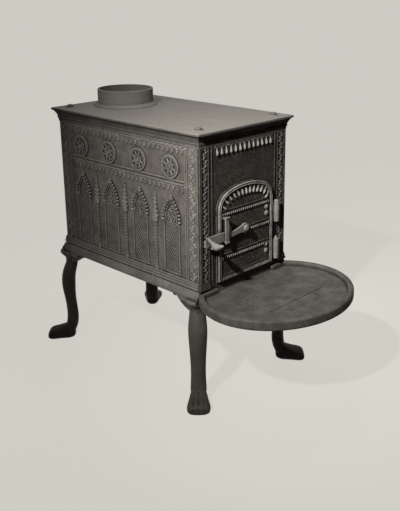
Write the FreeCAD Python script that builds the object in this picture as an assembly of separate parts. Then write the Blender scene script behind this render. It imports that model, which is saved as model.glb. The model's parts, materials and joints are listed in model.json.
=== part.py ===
import FreeCAD, Part
import math
import os

os.makedirs("parts", exist_ok=True)
V = FreeCAD.Vector

# All sizes are in millimetres. The front faces -Y and +Z is up.
# Pieces are drawn with the front plate's face at y = 0 and moved to the base centre at the end.
# A depth counts outwards from the front plate's face.

# Shell
BODY_WIDTH = 310.0
BODY_LENGTH = 538.0
WALL = 6.0
LEG_HEIGHT = 274.0
BODY_HEIGHT = 410.0
FLOOR_THICK = 12.0
TOP_THICK = 6.0
TOP_OVERHANG = 15.0
TOP_EDGE_ROUND = 2.0
SEAT_GAP = 0.3
RIB_WIDTH = 6.0
RIB_DEPTH = 9.0

# Cornice under the top plate, from the top down: cove, fillet, bead, fillet
COVE_HEIGHT = 17.0
COVE_OUT = 13.0
COVE_IN = 3.0
COVE_HOLLOW = 0.35
COVE_STEPS = 8
CORNICE_FILLET_HEIGHT = 4.0
CORNICE_FILLET_OUT = 4.0
CORNICE_BEAD_HEIGHT = 5.0
CORNICE_BEAD_OUT = 2.4
CORNICE_FOOT_HEIGHT = 5.0
CORNICE_FOOT_OUT = 1.5

# Moulded edge of the bottom plate
BASE_OVERHANG = 12.0
BASE_RIM_HEIGHT = 25.0
BASE_BAND_HEIGHT = 10.0
BASE_SLOPE_OUT = 5.0
BASE_NECK_HEIGHT = 3.0
BASE_NECK_OUT = 1.8
BASE_EDGE_ROUND = 2.0

# Ribs and grooves at the foot of the walls, from the bottom up, as height and reach outwards
PLINTH_RIBS = ((6.0, 5.0), (1.2, 2.4), (5.0, 3.8), (1.2, 1.4), (4.6, 2.6))
FRONT_PLINTH_REACH = 29.0

# Side plates
BAYS = 4
BAY_PITCH = 116.0
SIDE_BORDER = 40.0
BORDER_PAIR = 6.0
BEAD_R = 2.0
MID_MOULD_DROP = 87.0
MID_BEAD_R = 2.6
MID_BEAD_GAP = 8.0
TOP_BEAD_DROP = 3.0
ROSETTE_DROP = 56.0
ROSETTE_R = 29.0
ROSETTE_RING_WIDTH = 3.6
ROSETTE_RING_OUT = 4.2
ROSETTE_RING_ROUND = 1.2
ROSETTE_DISC_OUT = 1.0
ROSETTE_HUB_R = 5.0
ROSETTE_HUB_OUT = 3.6
WINDOW_HALF = 28.0
WINDOW_SILL_UP = 51.0
WINDOW_STRAIGHT = 132.0
WINDOW_RISE = 56.0
WINDOW_FRAME = 3.2
WINDOW_OUT = 1.8
WINDOW_SILL_HEIGHT = 3.0
WINDOW_SILL_OUT = 1.4
SHAFT_HALF = 4.6
SHAFT_OUT = 2.2
CAP_HALF = 8.0
CAP_HEIGHT = 9.0
CAP_OUT = 4.0
CAP_TOP_UP = 181.0
SPIRE_HALF = 6.5
SPIRE_OUT = 3.2
SPIRE_TIP_HALF = 1.2
SPIRE_TIP_OUT = 1.2
SPIRE_HEIGHT = 64.0
ROOT = 1.0

# Front plate
FRONT_BORDER_INSETS = (41.0, 30.0)
CORNER_STRIP_WIDTH = 6.5
CORNER_STRIP_OUT = 2.2
PANEL_HALF = 104.0

# Back plate
BACK_BORDER = 30.0

# Tie rods
ROD_R = 5.0
ROD_INSET = 22.0
ROD_CLEARANCE = 0.4
ROD_HEAD_R = 9.0
ROD_HEAD_HEIGHT = 6.0
ROD_END = 1.8
ROD_END_ROUND = 1.4
WASHER_R = 13.5
WASHER_THICK = 1.6
NUT_R = 8.2
NUT_HEIGHT = 4.6

# Flue collar
COLLAR_BACK = 97.0
COLLAR_R = 76.0
COLLAR_WALL = 5.0
COLLAR_HEIGHT = 45.0
COLLAR_EDGE_ROUND = 1.8
FLUE_LEDGE = 5.0
FLANGE_R = 86.0
FLANGE_EDGE = 1.2
FLANGE_HEIGHT = 9.0
COLLAR_BOLTS = 4
COLLAR_BOLT_R = 2.0
COLLAR_BOLT_CIRCLE = 78.0
COLLAR_BOLT_DEPTH = 4.0
COLLAR_BOLT_HEAD_R = 4.5
COLLAR_BOLT_HEAD = 3.5
BOLT_CLEARANCE = 0.2

# Hearth plate
HEARTH_HALF = 206.0
HEARTH_REACH = 284.0
HEARTH_CENTRE = 108.0
HEARTH_FLOOR_UP = 7.0
HEARTH_RIM_UP = 18.0
TONGUE_THICK = 7.0
HEARTH_RIM_WIDTH = 14.5
HEARTH_ROUND = 6.0
HEARTH_INNER_ROUND = 4.0
CURB_WIDTH = 8.0
CURB_PAST_DOOR = 1.5
LINE_HALF = 101.0
LINE_REACH = 172.0
LINE_WIDTH = 1.6
LINE_DEPTH = 0.8
RIDGE_R = 2.6
RIDGE_UP = 1.1
TONGUE_HALF = 62.0
TONGUE_REACH = 44.0
TONGUE_BOLT_X = 40.0
TONGUE_BOLT_Y = 24.0

# Bolts through the floor
FLOOR_BOLT_R = 4.0
FLOOR_BOLT_HEAD_R = 8.0
FLOOR_BOLT_HEAD = 3.5
FLOOR_BOLT_ROUND = 2.8
FLOOR_NUT_R = 7.5
FLOOR_NUT = 6.0
FLOOR_BOLT_END = 2.0

# Legs, as height, outer reach, inner reach and half width, from the base corner outwards
LEG_SECTIONS = (
    (1.00, 4.0, -52.0, 28.0),
    (0.965, 3.0, -50.0, 27.0),
    (0.92, -8.0, -46.0, 21.0),
    (0.83, -4.0, -40.0, 21.0),
    (0.71, 6.0, -32.5, 23.5),
    (0.605, 7.5, -30.5, 22.5),
    (0.48, 3.0, -29.6, 20.5),
    (0.355, -1.0, -32.0, 19.0),
    (0.23, -1.0, -34.0, 19.0),
    (0.15, 3.0, -31.0, 20.0),
    (0.06, 8.0, -20.0, 16.0),
)
# Foot, as reach outwards, half width, underside and top
FOOT_SECTIONS = (
    (-22.0, 9.0, 8.0, 24.0),
    (-15.0, 16.0, 0.0, 36.0),
    (-2.0, 21.0, -3.0, 42.0),
    (14.0, 24.0, -3.0, 37.0),
    (30.0, 27.5, -3.0, 31.0),
    (43.0, 29.0, -3.0, 27.0),
    (52.0, 26.5, -1.0, 22.0),
    (56.0, 20.0, 4.0, 16.0),
)
SECTION_POINTS = 16
FOOT_SQUARENESS = 2.6
TOE_GROOVES = (-14.5, 0.0, 14.5)
TOE_GROOVE_R = 2.6
TOE_GROOVE_START = 10.0
TOE_GROOVE_PINCH = 0.6
TOE_GROOVE_BACK = 5.0
TOE_GROOVE_PROUD = 1.0
TOE_GROOVE_Z0 = 40.0
TOE_GROOVE_Z1 = 24.0
WING_REACH = 80.0
WING_DROP = 33.0
WING_JOIN = 34.0
WING_BULGE = 4.0
WING_THICK = 14.0
WING_INSET = 5.5
BLOCK_REACH = 76.0
BLOCK_DROP = 12.0
BLOCK_SLANT = 12.0
BLOCK_INSET = 1.0
LOBE_R = 8.0
LOBE_OUT = 5.0
LEG_TURN = 45.0
LEG_BOLT_IN = 52.0
LEG_PAD_THICK = 10.0
LEG_PAD_HALF = 14.0
LEG_PAD_REACH = 38.0

# Door
DOOR_SIDE_MARGIN = 53.5
DOOR_SILL_UP = 31.0
DOOR_JAMB_HEIGHT = 180.0
DOOR_RISE = 58.5
DOOR_CORNER = 49.5
DOOR_GAP = 0.5
LIP_DEPTH = 3.0
LIP_STEP = 2.4
RIM_WIDTH = 11.0
RIM_DEPTH = 8.4
RIM_ROUND = 1.8
PLATE_BACK = 2.7
PLATE_FACE = 5.6
OPENING_LAP = 17.5
BAND_UPS = (15.0, 69.0, 123.0, 179.0)
BAND_BEAD_R = 2.2
BAND_STRIP_DROP = 5.0
BAND_STRIP_HEIGHT = 8.0
BAND_STRIP_OUT = 2.0

# Hinges
HINGE_OUT = 10.5
HINGE_DEPTH = 11.0
HINGE_UPS = (111.0, 10.0)
BRACKET_HEIGHT = 10.0
BRACKET_R = 6.8
BRACKET_ARM_HALF = 5.0
PAD_R = 7.0
PAD_DEPTH = 2.4
TENON_R = 4.0
TENON_HEAD_R = 7.0
TENON_HEAD = 2.5
KNUCKLE_R = 7.25
KNUCKLE_HEIGHT = 41.0
THRUST_GAP = 0.4
PIN_R = 3.5
PIN_RUN = 0.06
PIN_SEAT = 0.02
PIN_FOOT = 1.5
PIN_CAP_R = 6.6
PIN_CAP_HEIGHT = 6.0
PIN_CAP_ROUND = 4.8
PIN_POINT_R = 1.6
PIN_POINT_HEIGHT = 9.0
LEAF_THICK = 2.0
LEAF_HALF = 14.0
LEAF_LIFT = 6.0
LEAF_REACH_IN = 43.5
LEAF_CLEARANCE = 0.3
LEAF_SHORT = 2.0
RIVET_IN = 23.2
RIVET_SPREAD = 8.5
RIVET_R = 3.0
RIVET_HEAD_R = 7.0
RIVET_HEAD = 4.0

# Latch
LATCH_IN = 88.8
LATCH_UP = 123.6
LATCH_BACK = 11.5
LATCH_THICK = 4.5
LATCH_HUB_R = 12.0
LATCH_RUN = 0.06
PIVOT_R = 5.0
BOSS_R = 10.0
PIVOT_HEAD_R = 8.5
PIVOT_HEAD = 6.5
PIVOT_HEAD_ROUND = 4.5
PIVOT_NUT_R = 8.5
PIVOT_NUT = 2.2
BAR_UPPER = (
    (-6.0, 9.0), (-24.0, 4.6), (-42.0, 1.6), (-54.0, 1.8),
    (-66.0, 4.4), (-78.0, 6.0), (-106.0, 6.0), (-134.0, 5.9),
)
BAR_LOWER = ((-98.0, -15.8), (-78.0, -15.8), (-62.0, -13.4), (-42.0, -10.5), (-6.0, -8.4))
BAR_TAIL_WIDTH = 5.0
BAR_TAIL_HEIGHT = 16.0
# Cuts along the handle, as place along and above the pivot, depth, half width and half height
HANDLE_PATH = (
    (-130.0, 0.0, 13.5, 3.2, 5.6),
    (-130.5, -1.0, 22.0, 3.2, 5.2),
    (-130.5, -5.0, 30.0, 5.0, 6.0),
    (-130.0, -9.5, 38.0, 8.0, 8.6),
    (-129.5, -10.5, 46.0, 9.0, 8.4),
    (-128.5, -8.0, 54.0, 7.0, 6.0),
    (-128.0, -5.5, 60.0, 3.6, 3.4),
    (-128.0, -4.5, 63.0, 1.4, 1.4),
)
STAPLE_IN = 19.7
STAPLE_HALF = 5.4
STAPLE_THICK = 3.6
STAPLE_GAP = 1.0
STAPLE_BELOW = 20.4
STAPLE_ABOVE = 42.0
STAPLE_CURL_R = 2.6
STAPLE_TENON_R = 1.6
KEEPER_OUT = 26.5
KEEPER_HALF = 4.5
KEEPER_GAP = 0.4
KEEPER_SHELF = 9.0
KEEPER_NOSE = 4.0
KEEPER_NOSE_RISE = 11.0
KEEPER_PAD_DEPTH = 3.2
KEEPER_TENON_R = 3.0

HALF = BODY_WIDTH / 2
FIRE_FLOOR = LEG_HEIGHT + FLOOR_THICK
TOP_HEIGHT = LEG_HEIGHT + BODY_HEIGHT
TOP_UNDER = TOP_HEIGHT - TOP_THICK
COVE_BOTTOM = TOP_UNDER - COVE_HEIGHT
CORNICE_FILLET_BOTTOM = COVE_BOTTOM - CORNICE_FILLET_HEIGHT
CORNICE_BEAD_BOTTOM = CORNICE_FILLET_BOTTOM - CORNICE_BEAD_HEIGHT
CORNICE_BOTTOM = CORNICE_BEAD_BOTTOM - CORNICE_FOOT_HEIGHT
BASE_RIM_TOP = LEG_HEIGHT + BASE_RIM_HEIGHT
PLINTH_TOP = BASE_RIM_TOP + sum(height for height, out in PLINTH_RIBS)
COLLAR_Y = BODY_LENGTH - COLLAR_BACK
COLLAR_BORE = COLLAR_R - COLLAR_WALL
BASE_CORNER = HALF + BASE_OVERHANG
ROD_PLACES = tuple((sx * (HALF - ROD_INSET), y)
                   for sx in (-1, 1) for y in (ROD_INSET, BODY_LENGTH - ROD_INSET))
BOLT_INNER = BASE_CORNER - LEG_BOLT_IN
BOLT_REAR = BODY_LENGTH + BASE_OVERHANG - LEG_BOLT_IN
LEG_BOLT_PLACES = tuple((sx * BOLT_INNER, y) for sx in (-1, 1) for y in (LEG_BOLT_IN, BOLT_REAR))
HEARTH_UNDER = LEG_HEIGHT - TONGUE_THICK
HEARTH_FLOOR = LEG_HEIGHT + HEARTH_FLOOR_UP
HEARTH_RIM = LEG_HEIGHT + HEARTH_RIM_UP
MID_MOULD_Z = CORNICE_BOTTOM - MID_MOULD_DROP
ROSETTE_Z = CORNICE_BOTTOM - ROSETTE_DROP
WINDOW_SILL = LEG_HEIGHT + WINDOW_SILL_UP
WINDOW_SPRING = WINDOW_SILL + WINDOW_STRAIGHT
CAP_TOP = LEG_HEIGHT + CAP_TOP_UP
SPIRE_TOP = CAP_TOP + SPIRE_HEIGHT
FRONT_BORDER_BEADS = tuple(HALF - inset for inset in FRONT_BORDER_INSETS)
DOOR_HALF = HALF - DOOR_SIDE_MARGIN
CURB_END_HALF = DOOR_HALF + CURB_PAST_DOOR
DOOR_BOTTOM = LEG_HEIGHT + DOOR_SILL_UP
DOOR_SPRING = DOOR_BOTTOM + DOOR_JAMB_HEIGHT
HINGE_X = DOOR_HALF + HINGE_OUT
LEAF_INNER = DOOR_HALF - LEAF_REACH_IN
LEAF_OUTER = HINGE_X - LEAF_SHORT
RIVET_X = DOOR_HALF - RIVET_IN
HINGE_FOOT = tuple(DOOR_BOTTOM + up for up in HINGE_UPS)
LEAF_CENTRES = tuple(z + BRACKET_HEIGHT + THRUST_GAP + KNUCKLE_HEIGHT / 2 + LEAF_LIFT for z in HINGE_FOOT)
LATCH_X = LATCH_IN - DOOR_HALF
STAPLE_X = STAPLE_IN - DOOR_HALF
KEEPER_X = -DOOR_HALF - KEEPER_OUT
LATCH_Z = DOOR_BOTTOM + LATCH_UP
STAPLE_BOTTOM = LATCH_Z - STAPLE_BELOW
STAPLE_TOP = LATCH_Z + STAPLE_ABOVE
LATCH_FRONT = LATCH_BACK + LATCH_THICK


def box(x0, x1, y0, y1, z0, z1):
    """Block between two corners."""
    return Part.makeBox(x1 - x0, y1 - y0, z1 - z0, V(x0, y0, z0))


def post(x, y, z0, z1, r):
    """Upright round bar."""
    return Part.makeCylinder(r, z1 - z0, V(x, y, z0))


def stud(x, z, d0, d1, r):
    """Round bar square to the front plate, between two depths."""
    return Part.makeCylinder(r, d1 - d0, V(x, -d0, z), V(0, -1, 0))


def prism(corners, height, z):
    """Upright prism on a flat outline."""
    points = [V(x, y, z) for x, y in corners]
    return Part.Face(Part.makePolygon(points + points[:1])).extrude(V(0, 0, height))


def hexagon(x, y, r):
    """Outline of a hexagon nut or head, r to its flats."""
    reach = r / math.cos(math.pi / 6)
    turns = [k * math.pi / 3 for k in range(6)]
    return [(x + reach * math.cos(t), y + reach * math.sin(t)) for t in turns]


def join(pieces):
    """One solid from pieces that meet."""
    return pieces[0].multiFuse(pieces[1:]).removeSplitter()


def flip(shape):
    """Mirror image across the middle."""
    return shape.mirror(V(0, 0, 0), V(1, 0, 0))


def round_edges(shape, radius, wanted):
    """Round the edges that wanted() picks."""
    return shape.makeFillet(radius, [e for e in shape.Edges if wanted(e)])


def body_outline(out, z, front_out):
    """Outline of the shell at one height, set outwards."""
    side = HALF + out
    back = BODY_LENGTH + out
    corners = ((-side, -front_out), (side, -front_out), (side, back), (-side, back))
    points = [V(x, y, z) for x, y in corners]
    return Part.makePolygon(points + points[:1])


def layer(out0, z0, out1, z1, wrap):
    """Straight-sided layer of a moulding, all round or open at the front."""
    lower = body_outline(out0, z0, out0 * wrap)
    upper = body_outline(out1, z1, out1 * wrap)
    return Part.makeLoft([lower, upper], True, True)


def cove():
    """Hollow part of the cornice."""
    sections = []
    for step in range(COVE_STEPS + 1):
        share = step / COVE_STEPS
        turn = math.pi / 2 * share
        across = share + COVE_HOLLOW * (1 - math.cos(turn) - share)
        up = share + COVE_HOLLOW * (math.sin(turn) - share)
        out = COVE_IN + (COVE_OUT - COVE_IN) * across
        sections.append(body_outline(out, COVE_BOTTOM + COVE_HEIGHT * up, out))
    return Part.makeLoft(sections, True, True)


def top_plate():
    """Top with its cornice, flue hole and rod holes."""
    side = HALF + TOP_OVERHANG
    slab = box(-side, side, -TOP_OVERHANG, BODY_LENGTH + TOP_OVERHANG, TOP_UNDER, TOP_HEIGHT)
    slab = round_edges(slab, TOP_EDGE_ROUND, lambda e: e.BoundBox.ZMin > TOP_UNDER + TOP_THICK / 2)
    cornice = join([
        cove(),
        layer(CORNICE_FILLET_OUT, CORNICE_FILLET_BOTTOM, CORNICE_FILLET_OUT, COVE_BOTTOM, 1),
        layer(CORNICE_BEAD_OUT, CORNICE_BEAD_BOTTOM, CORNICE_BEAD_OUT, CORNICE_FILLET_BOTTOM, 1),
        layer(CORNICE_FOOT_OUT, CORNICE_BOTTOM, CORNICE_FOOT_OUT, CORNICE_BEAD_BOTTOM, 1),
    ])
    fit = HALF + SEAT_GAP
    seat = box(-fit, fit, -SEAT_GAP, BODY_LENGTH + SEAT_GAP, CORNICE_BOTTOM, TOP_UNDER)
    plate = slab.fuse(cornice.cut(seat)).removeSplitter()
    bolt_hole = COLLAR_BOLT_R + BOLT_CLEARANCE
    cuts = [post(0, COLLAR_Y, TOP_UNDER, TOP_HEIGHT, COLLAR_BORE - FLUE_LEDGE)]
    cuts += [post(x, y, TOP_UNDER, TOP_HEIGHT, ROD_R + ROD_CLEARANCE) for x, y in ROD_PLACES]
    cuts += [post(x, y, TOP_UNDER, TOP_HEIGHT, bolt_hole) for x, y in collar_bolt_places()]
    return plate.cut(Part.makeCompound(cuts))


def bottom_plate():
    """Firebox floor with its moulded edge and bolt holes."""
    band_top = LEG_HEIGHT + BASE_BAND_HEIGHT
    neck_bottom = BASE_RIM_TOP - BASE_NECK_HEIGHT
    band = layer(BASE_OVERHANG, LEG_HEIGHT, BASE_OVERHANG, band_top, 0)
    band = round_edges(band, BASE_EDGE_ROUND, lambda e: abs(e.BoundBox.ZLength) < ROOT
                       and e.BoundBox.YMax > ROOT)
    edge = join([
        band,
        layer(BASE_OVERHANG - BASE_EDGE_ROUND, band_top, BASE_SLOPE_OUT, neck_bottom, 0),
        layer(BASE_NECK_OUT, neck_bottom, BASE_NECK_OUT, BASE_RIM_TOP, 0),
    ])
    fit = HALF + SEAT_GAP
    head_top = LEG_HEIGHT + ROD_HEAD_HEIGHT
    bolt_hole = FLOOR_BOLT_R + BOLT_CLEARANCE
    cuts = [box(-fit, fit, 0, BODY_LENGTH + SEAT_GAP, FIRE_FLOOR, BASE_RIM_TOP)]
    cuts += [post(x, y, LEG_HEIGHT, FIRE_FLOOR, ROD_R + ROD_CLEARANCE) for x, y in ROD_PLACES]
    cuts += [post(x, y, LEG_HEIGHT, head_top, ROD_HEAD_R + ROD_CLEARANCE) for x, y in ROD_PLACES]
    cuts += [post(x, y, LEG_HEIGHT, FIRE_FLOOR, bolt_hole) for x, y in floor_bolt_places()]
    return edge.cut(Part.makeCompound(cuts))


def pointed_arch(y, half, sill, rise):
    """Face of a pointed window on the left wall."""
    centre = (rise * rise - half * half) / (2 * half)
    radius = half + centre
    turn = math.atan2(rise, centre) / 2
    mid_y = radius * math.cos(turn) - centre
    mid_z = WINDOW_SPRING + radius * math.sin(turn)
    x = -HALF + ROOT
    left = V(x, y - half, WINDOW_SPRING)
    right = V(x, y + half, WINDOW_SPRING)
    tip = V(x, y, WINDOW_SPRING + rise)
    edges = [
        Part.makeLine(V(x, y - half, sill), left),
        Part.Arc(left, V(x, y - mid_y, mid_z), tip).toShape(),
        Part.Arc(tip, V(x, y + mid_y, mid_z), right).toShape(),
        Part.makeLine(right, V(x, y + half, sill)),
        Part.makeLine(V(x, y + half, sill), V(x, y - half, sill)),
    ]
    return Part.Face(Part.Wire(edges))


def window(y):
    """Raised frame and sill of one pointed window."""
    reach = V(-WINDOW_OUT - ROOT, 0, 0)
    slim = WINDOW_RISE * (WINDOW_HALF - WINDOW_FRAME) / WINDOW_HALF
    outer = pointed_arch(y, WINDOW_HALF, WINDOW_SILL, WINDOW_RISE).extrude(reach)
    inner = pointed_arch(y, WINDOW_HALF - WINDOW_FRAME, WINDOW_SILL, slim).extrude(reach)
    ear = WINDOW_HALF + WINDOW_FRAME
    under = WINDOW_SILL - WINDOW_SILL_HEIGHT
    sill = box(-HALF - WINDOW_SILL_OUT, -HALF + ROOT, y - ear, y + ear, under, WINDOW_SILL + ROOT)
    return outer.cut(inner).fuse(sill)


def rosette(y):
    """Standing ring, sunk disc and hub of one rosette."""
    root = V(-HALF + ROOT, y, ROSETTE_Z)
    out = V(-1, 0, 0)
    tall = ROSETTE_RING_OUT + ROOT
    inner_r = ROSETTE_R - ROSETTE_RING_WIDTH
    ring = Part.makeCylinder(ROSETTE_R, tall, root, out)
    ring = round_edges(ring, ROSETTE_RING_ROUND, lambda e: e.BoundBox.XMax < -HALF - ROSETTE_RING_OUT + ROOT / 2)
    ring = ring.cut(Part.makeCylinder(inner_r, tall, root, out))
    disc = Part.makeCylinder(inner_r + ROOT, ROSETTE_DISC_OUT + ROOT, root, out)
    hub = Part.makeCylinder(ROSETTE_HUB_R, ROSETTE_HUB_OUT + ROOT, root, out)
    return ring.multiFuse([disc, hub])


def wall_outline(y, half, out, z):
    """Small rectangle standing out of the left wall at one height."""
    inner = -HALF + ROOT
    outer = -HALF - out
    corners = ((inner, y - half), (outer, y - half), (outer, y + half), (inner, y + half))
    points = [V(x, py, z) for x, py in corners]
    return Part.makePolygon(points + points[:1])


def pinnacle(y):
    """Shaft, cap and spire between two windows."""
    cap_bottom = CAP_TOP - CAP_HEIGHT
    inner = -HALF + ROOT
    shaft = box(-HALF - SHAFT_OUT, inner, y - SHAFT_HALF, y + SHAFT_HALF, PLINTH_TOP - ROOT, cap_bottom)
    cap = box(-HALF - CAP_OUT, inner, y - CAP_HALF, y + CAP_HALF, cap_bottom, CAP_TOP)
    spire = Part.makeLoft([wall_outline(y, SPIRE_HALF, SPIRE_OUT, CAP_TOP),
                           wall_outline(y, SPIRE_TIP_HALF, SPIRE_TIP_OUT, SPIRE_TOP)], True, True)
    return shaft.multiFuse([cap, spire])


def wall_bead(y0, y1, z, r):
    """Level half-round bead on the left wall."""
    return Part.makeCylinder(r, y1 - y0, V(-HALF, y0, z), V(0, 1, 0))


def plinth_ribs():
    """Lower end, upper end and reach of each rib at the foot of the walls."""
    ribs = []
    z = BASE_RIM_TOP
    for height, out in PLINTH_RIBS:
        ribs.append((z, z + height, out))
        z += height
    return ribs


def left_side_plate():
    """Side wall with its borders, rosettes, windows and pinnacles."""
    y0 = WALL
    y1 = BODY_LENGTH - WALL
    first = SIDE_BORDER + BORDER_PAIR
    last = BODY_LENGTH - first
    bays = [BODY_LENGTH / 2 + (k - (BAYS - 1) / 2) * BAY_PITCH for k in range(BAYS)]
    pieces = [box(-HALF, -HALF + WALL, y0, y1, FIRE_FLOOR, TOP_UNDER)]
    pieces += [box(-HALF - out, -HALF + ROOT, y0, y1, z0, z1) for z0, z1, out in plinth_ribs()]
    for y in (SIDE_BORDER, first, last, BODY_LENGTH - SIDE_BORDER):
        pieces.append(post(-HALF, y, PLINTH_TOP - ROOT, CORNICE_BOTTOM, BEAD_R))
    pieces.append(wall_bead(first, last, CORNICE_BOTTOM - TOP_BEAD_DROP, BEAD_R))
    for drop in (0.0, MID_BEAD_GAP):
        pieces.append(wall_bead(first, last, MID_MOULD_Z - drop, MID_BEAD_R))
    for y in bays:
        pieces += [rosette(y), window(y)]
    for y in bays[:-1]:
        pieces.append(pinnacle(y + BAY_PITCH / 2))
    return join(pieces)


def arch_face(inset, depth):
    """Face of the door's arched outline, set inwards, at one depth."""
    half = DOOR_HALF - inset
    corner = DOOR_CORNER - inset
    rise = DOOR_RISE - inset
    crown = ((half - corner) ** 2 + rise ** 2 - corner ** 2) / (2 * (rise - corner))
    crown_z = DOOR_SPRING + rise - crown
    turn = math.atan2(half - corner, crown - rise)
    between = (turn + math.pi / 2) / 2
    y = -depth
    bottom = DOOR_BOTTOM + inset
    meet_x = crown * math.sin(turn)
    meet_z = crown_z + crown * math.cos(turn)
    mid_x = half - corner + corner * math.sin(between)
    mid_z = DOOR_SPRING + corner * math.cos(between)
    edges = [
        Part.makeLine(V(-half, y, bottom), V(-half, y, DOOR_SPRING)),
        Part.Arc(V(-half, y, DOOR_SPRING), V(-mid_x, y, mid_z), V(-meet_x, y, meet_z)).toShape(),
        Part.Arc(V(-meet_x, y, meet_z), V(0, y, DOOR_SPRING + rise), V(meet_x, y, meet_z)).toShape(),
        Part.Arc(V(meet_x, y, meet_z), V(mid_x, y, mid_z), V(half, y, DOOR_SPRING)).toShape(),
        Part.makeLine(V(half, y, DOOR_SPRING), V(half, y, bottom)),
        Part.makeLine(V(half, y, bottom), V(-half, y, bottom)),
    ]
    return Part.Face(Part.Wire(edges))


def arch_block(inset, d0, d1):
    """Arched block between two depths."""
    return arch_face(inset, d0).extrude(V(0, d0 - d1, 0))


def front_plinth():
    """Plinth ribs returned on the front at the left corner."""
    edge = -HALF + FRONT_PLINTH_REACH
    return join([box(-HALF - out, edge, -out, WALL, z0, z1) for z0, z1, out in plinth_ribs()])


def hinge_tenon_z(foot):
    """Middle height of one hinge bracket."""
    return foot + BRACKET_HEIGHT / 2


def keeper_top():
    """Height of the keeper's shelf, just under the bar's end."""
    return LATCH_Z + BAR_LOWER[0][1] - KEEPER_GAP


def front_plate():
    """Front wall with the door opening, borders, pads and tenon holes."""
    pieces = [box(-HALF, HALF, 0, WALL, FIRE_FLOOR, TOP_UNDER)]
    plinth = front_plinth()
    pieces += [plinth, flip(plinth)]
    rib_x = HALF - WALL - SEAT_GAP
    for sx in (-1, 1):
        rib = sorted((sx * rib_x, sx * (rib_x - RIB_WIDTH)))
        pieces.append(box(rib[0], rib[1], 0, RIB_DEPTH + WALL, PLINTH_TOP, CORNICE_BOTTOM))
        strip = sorted((sx * HALF, sx * (HALF - CORNER_STRIP_WIDTH)))
        pieces.append(box(strip[0], strip[1], -CORNER_STRIP_OUT, 0, PLINTH_TOP - ROOT, CORNICE_BOTTOM))
        for x in FRONT_BORDER_BEADS:
            pieces.append(post(sx * x, 0, PLINTH_TOP, CORNICE_BOTTOM, BEAD_R))
    pieces.append(cross_bead(PANEL_HALF, 0, CORNICE_BOTTOM - TOP_BEAD_DROP, BEAD_R))
    shelf = keeper_top()
    keeper = (KEEPER_X - KEEPER_HALF, KEEPER_X + KEEPER_HALF)
    pieces.append(box(keeper[0], keeper[1], -KEEPER_PAD_DEPTH, WALL, shelf - KEEPER_SHELF, shelf))
    for foot in HINGE_FOOT:
        pieces.append(stud(HINGE_X, hinge_tenon_z(foot), -WALL, PAD_DEPTH, PAD_R))
    cuts = [arch_block(OPENING_LAP, -WALL, CORNER_STRIP_OUT)]
    for foot in HINGE_FOOT:
        cuts.append(stud(HINGE_X, hinge_tenon_z(foot), -WALL, PAD_DEPTH, TENON_R))
    cuts.append(stud(KEEPER_X, shelf - KEEPER_SHELF / 2, -WALL, KEEPER_PAD_DEPTH, KEEPER_TENON_R))
    return join(pieces).cut(Part.makeCompound(cuts))


def cross_bead(reach, y, z, r):
    """Level bead across the front or back, centred on the middle."""
    return Part.makeCylinder(r, 2 * reach, V(-reach, y, z), V(1, 0, 0))


def back_plinth(out, z0, z1):
    """One plinth rib across the back, returned round both corners."""
    return box(-HALF - out, HALF + out, BODY_LENGTH - WALL, BODY_LENGTH + out, z0, z1)


def back_plate():
    """Plain back wall with a raised border."""
    y = BODY_LENGTH
    pieces = [box(-HALF, HALF, y - WALL, y, FIRE_FLOOR, TOP_UNDER)]
    rib_x = HALF - WALL - SEAT_GAP
    low = PLINTH_TOP + BACK_BORDER
    high = CORNICE_BOTTOM - BACK_BORDER
    for sx in (-1, 1):
        rib = sorted((sx * rib_x, sx * (rib_x - RIB_WIDTH)))
        pieces.append(box(rib[0], rib[1], y - WALL - RIB_DEPTH, y, PLINTH_TOP, CORNICE_BOTTOM))
        pieces.append(post(sx * (HALF - BACK_BORDER), y, low, high, BEAD_R))
    for z in (low, high):
        pieces.append(cross_bead(HALF - BACK_BORDER, y, z, BEAD_R))
    pieces += [back_plinth(out, z0, z1) for z0, z1, out in plinth_ribs()]
    return join(pieces)


def tie_rod(x, y):
    """Long rod with its round head let into the floor from below."""
    foot = LEG_HEIGHT + SEAT_GAP
    top = TOP_HEIGHT + WASHER_THICK + NUT_HEIGHT + ROD_END
    rod = post(x, y, foot, top, ROD_R)
    rod = round_edges(rod, ROD_END_ROUND, lambda e: e.BoundBox.ZMin > top - ROOT / 2)
    return rod.fuse(post(x, y, foot, LEG_HEIGHT + ROD_HEAD_HEIGHT, ROD_HEAD_R)).removeSplitter()


def nut(x, y, z, height, r, hole):
    """Hexagon nut with its upper corners turned off."""
    body = prism(hexagon(x, y, r), height, z)
    cone = Part.makeCone(r + height, r, height, V(x, y, z))
    return body.common(cone).cut(post(x, y, z, z + height, hole))


def tie_rod_washer(x, y):
    """Round washer with a sloped edge."""
    cone = Part.makeCone(WASHER_R, WASHER_R - WASHER_THICK, WASHER_THICK, V(x, y, TOP_HEIGHT))
    return cone.cut(post(x, y, TOP_HEIGHT, TOP_HEIGHT + WASHER_THICK, ROD_R + ROD_CLEARANCE))


def collar_bolt_places():
    """Bolt centres round the collar."""
    turns = [math.pi / COLLAR_BOLTS + k * 2 * math.pi / COLLAR_BOLTS for k in range(COLLAR_BOLTS)]
    return [(COLLAR_BOLT_CIRCLE * math.cos(t), COLLAR_Y + COLLAR_BOLT_CIRCLE * math.sin(t)) for t in turns]


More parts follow.
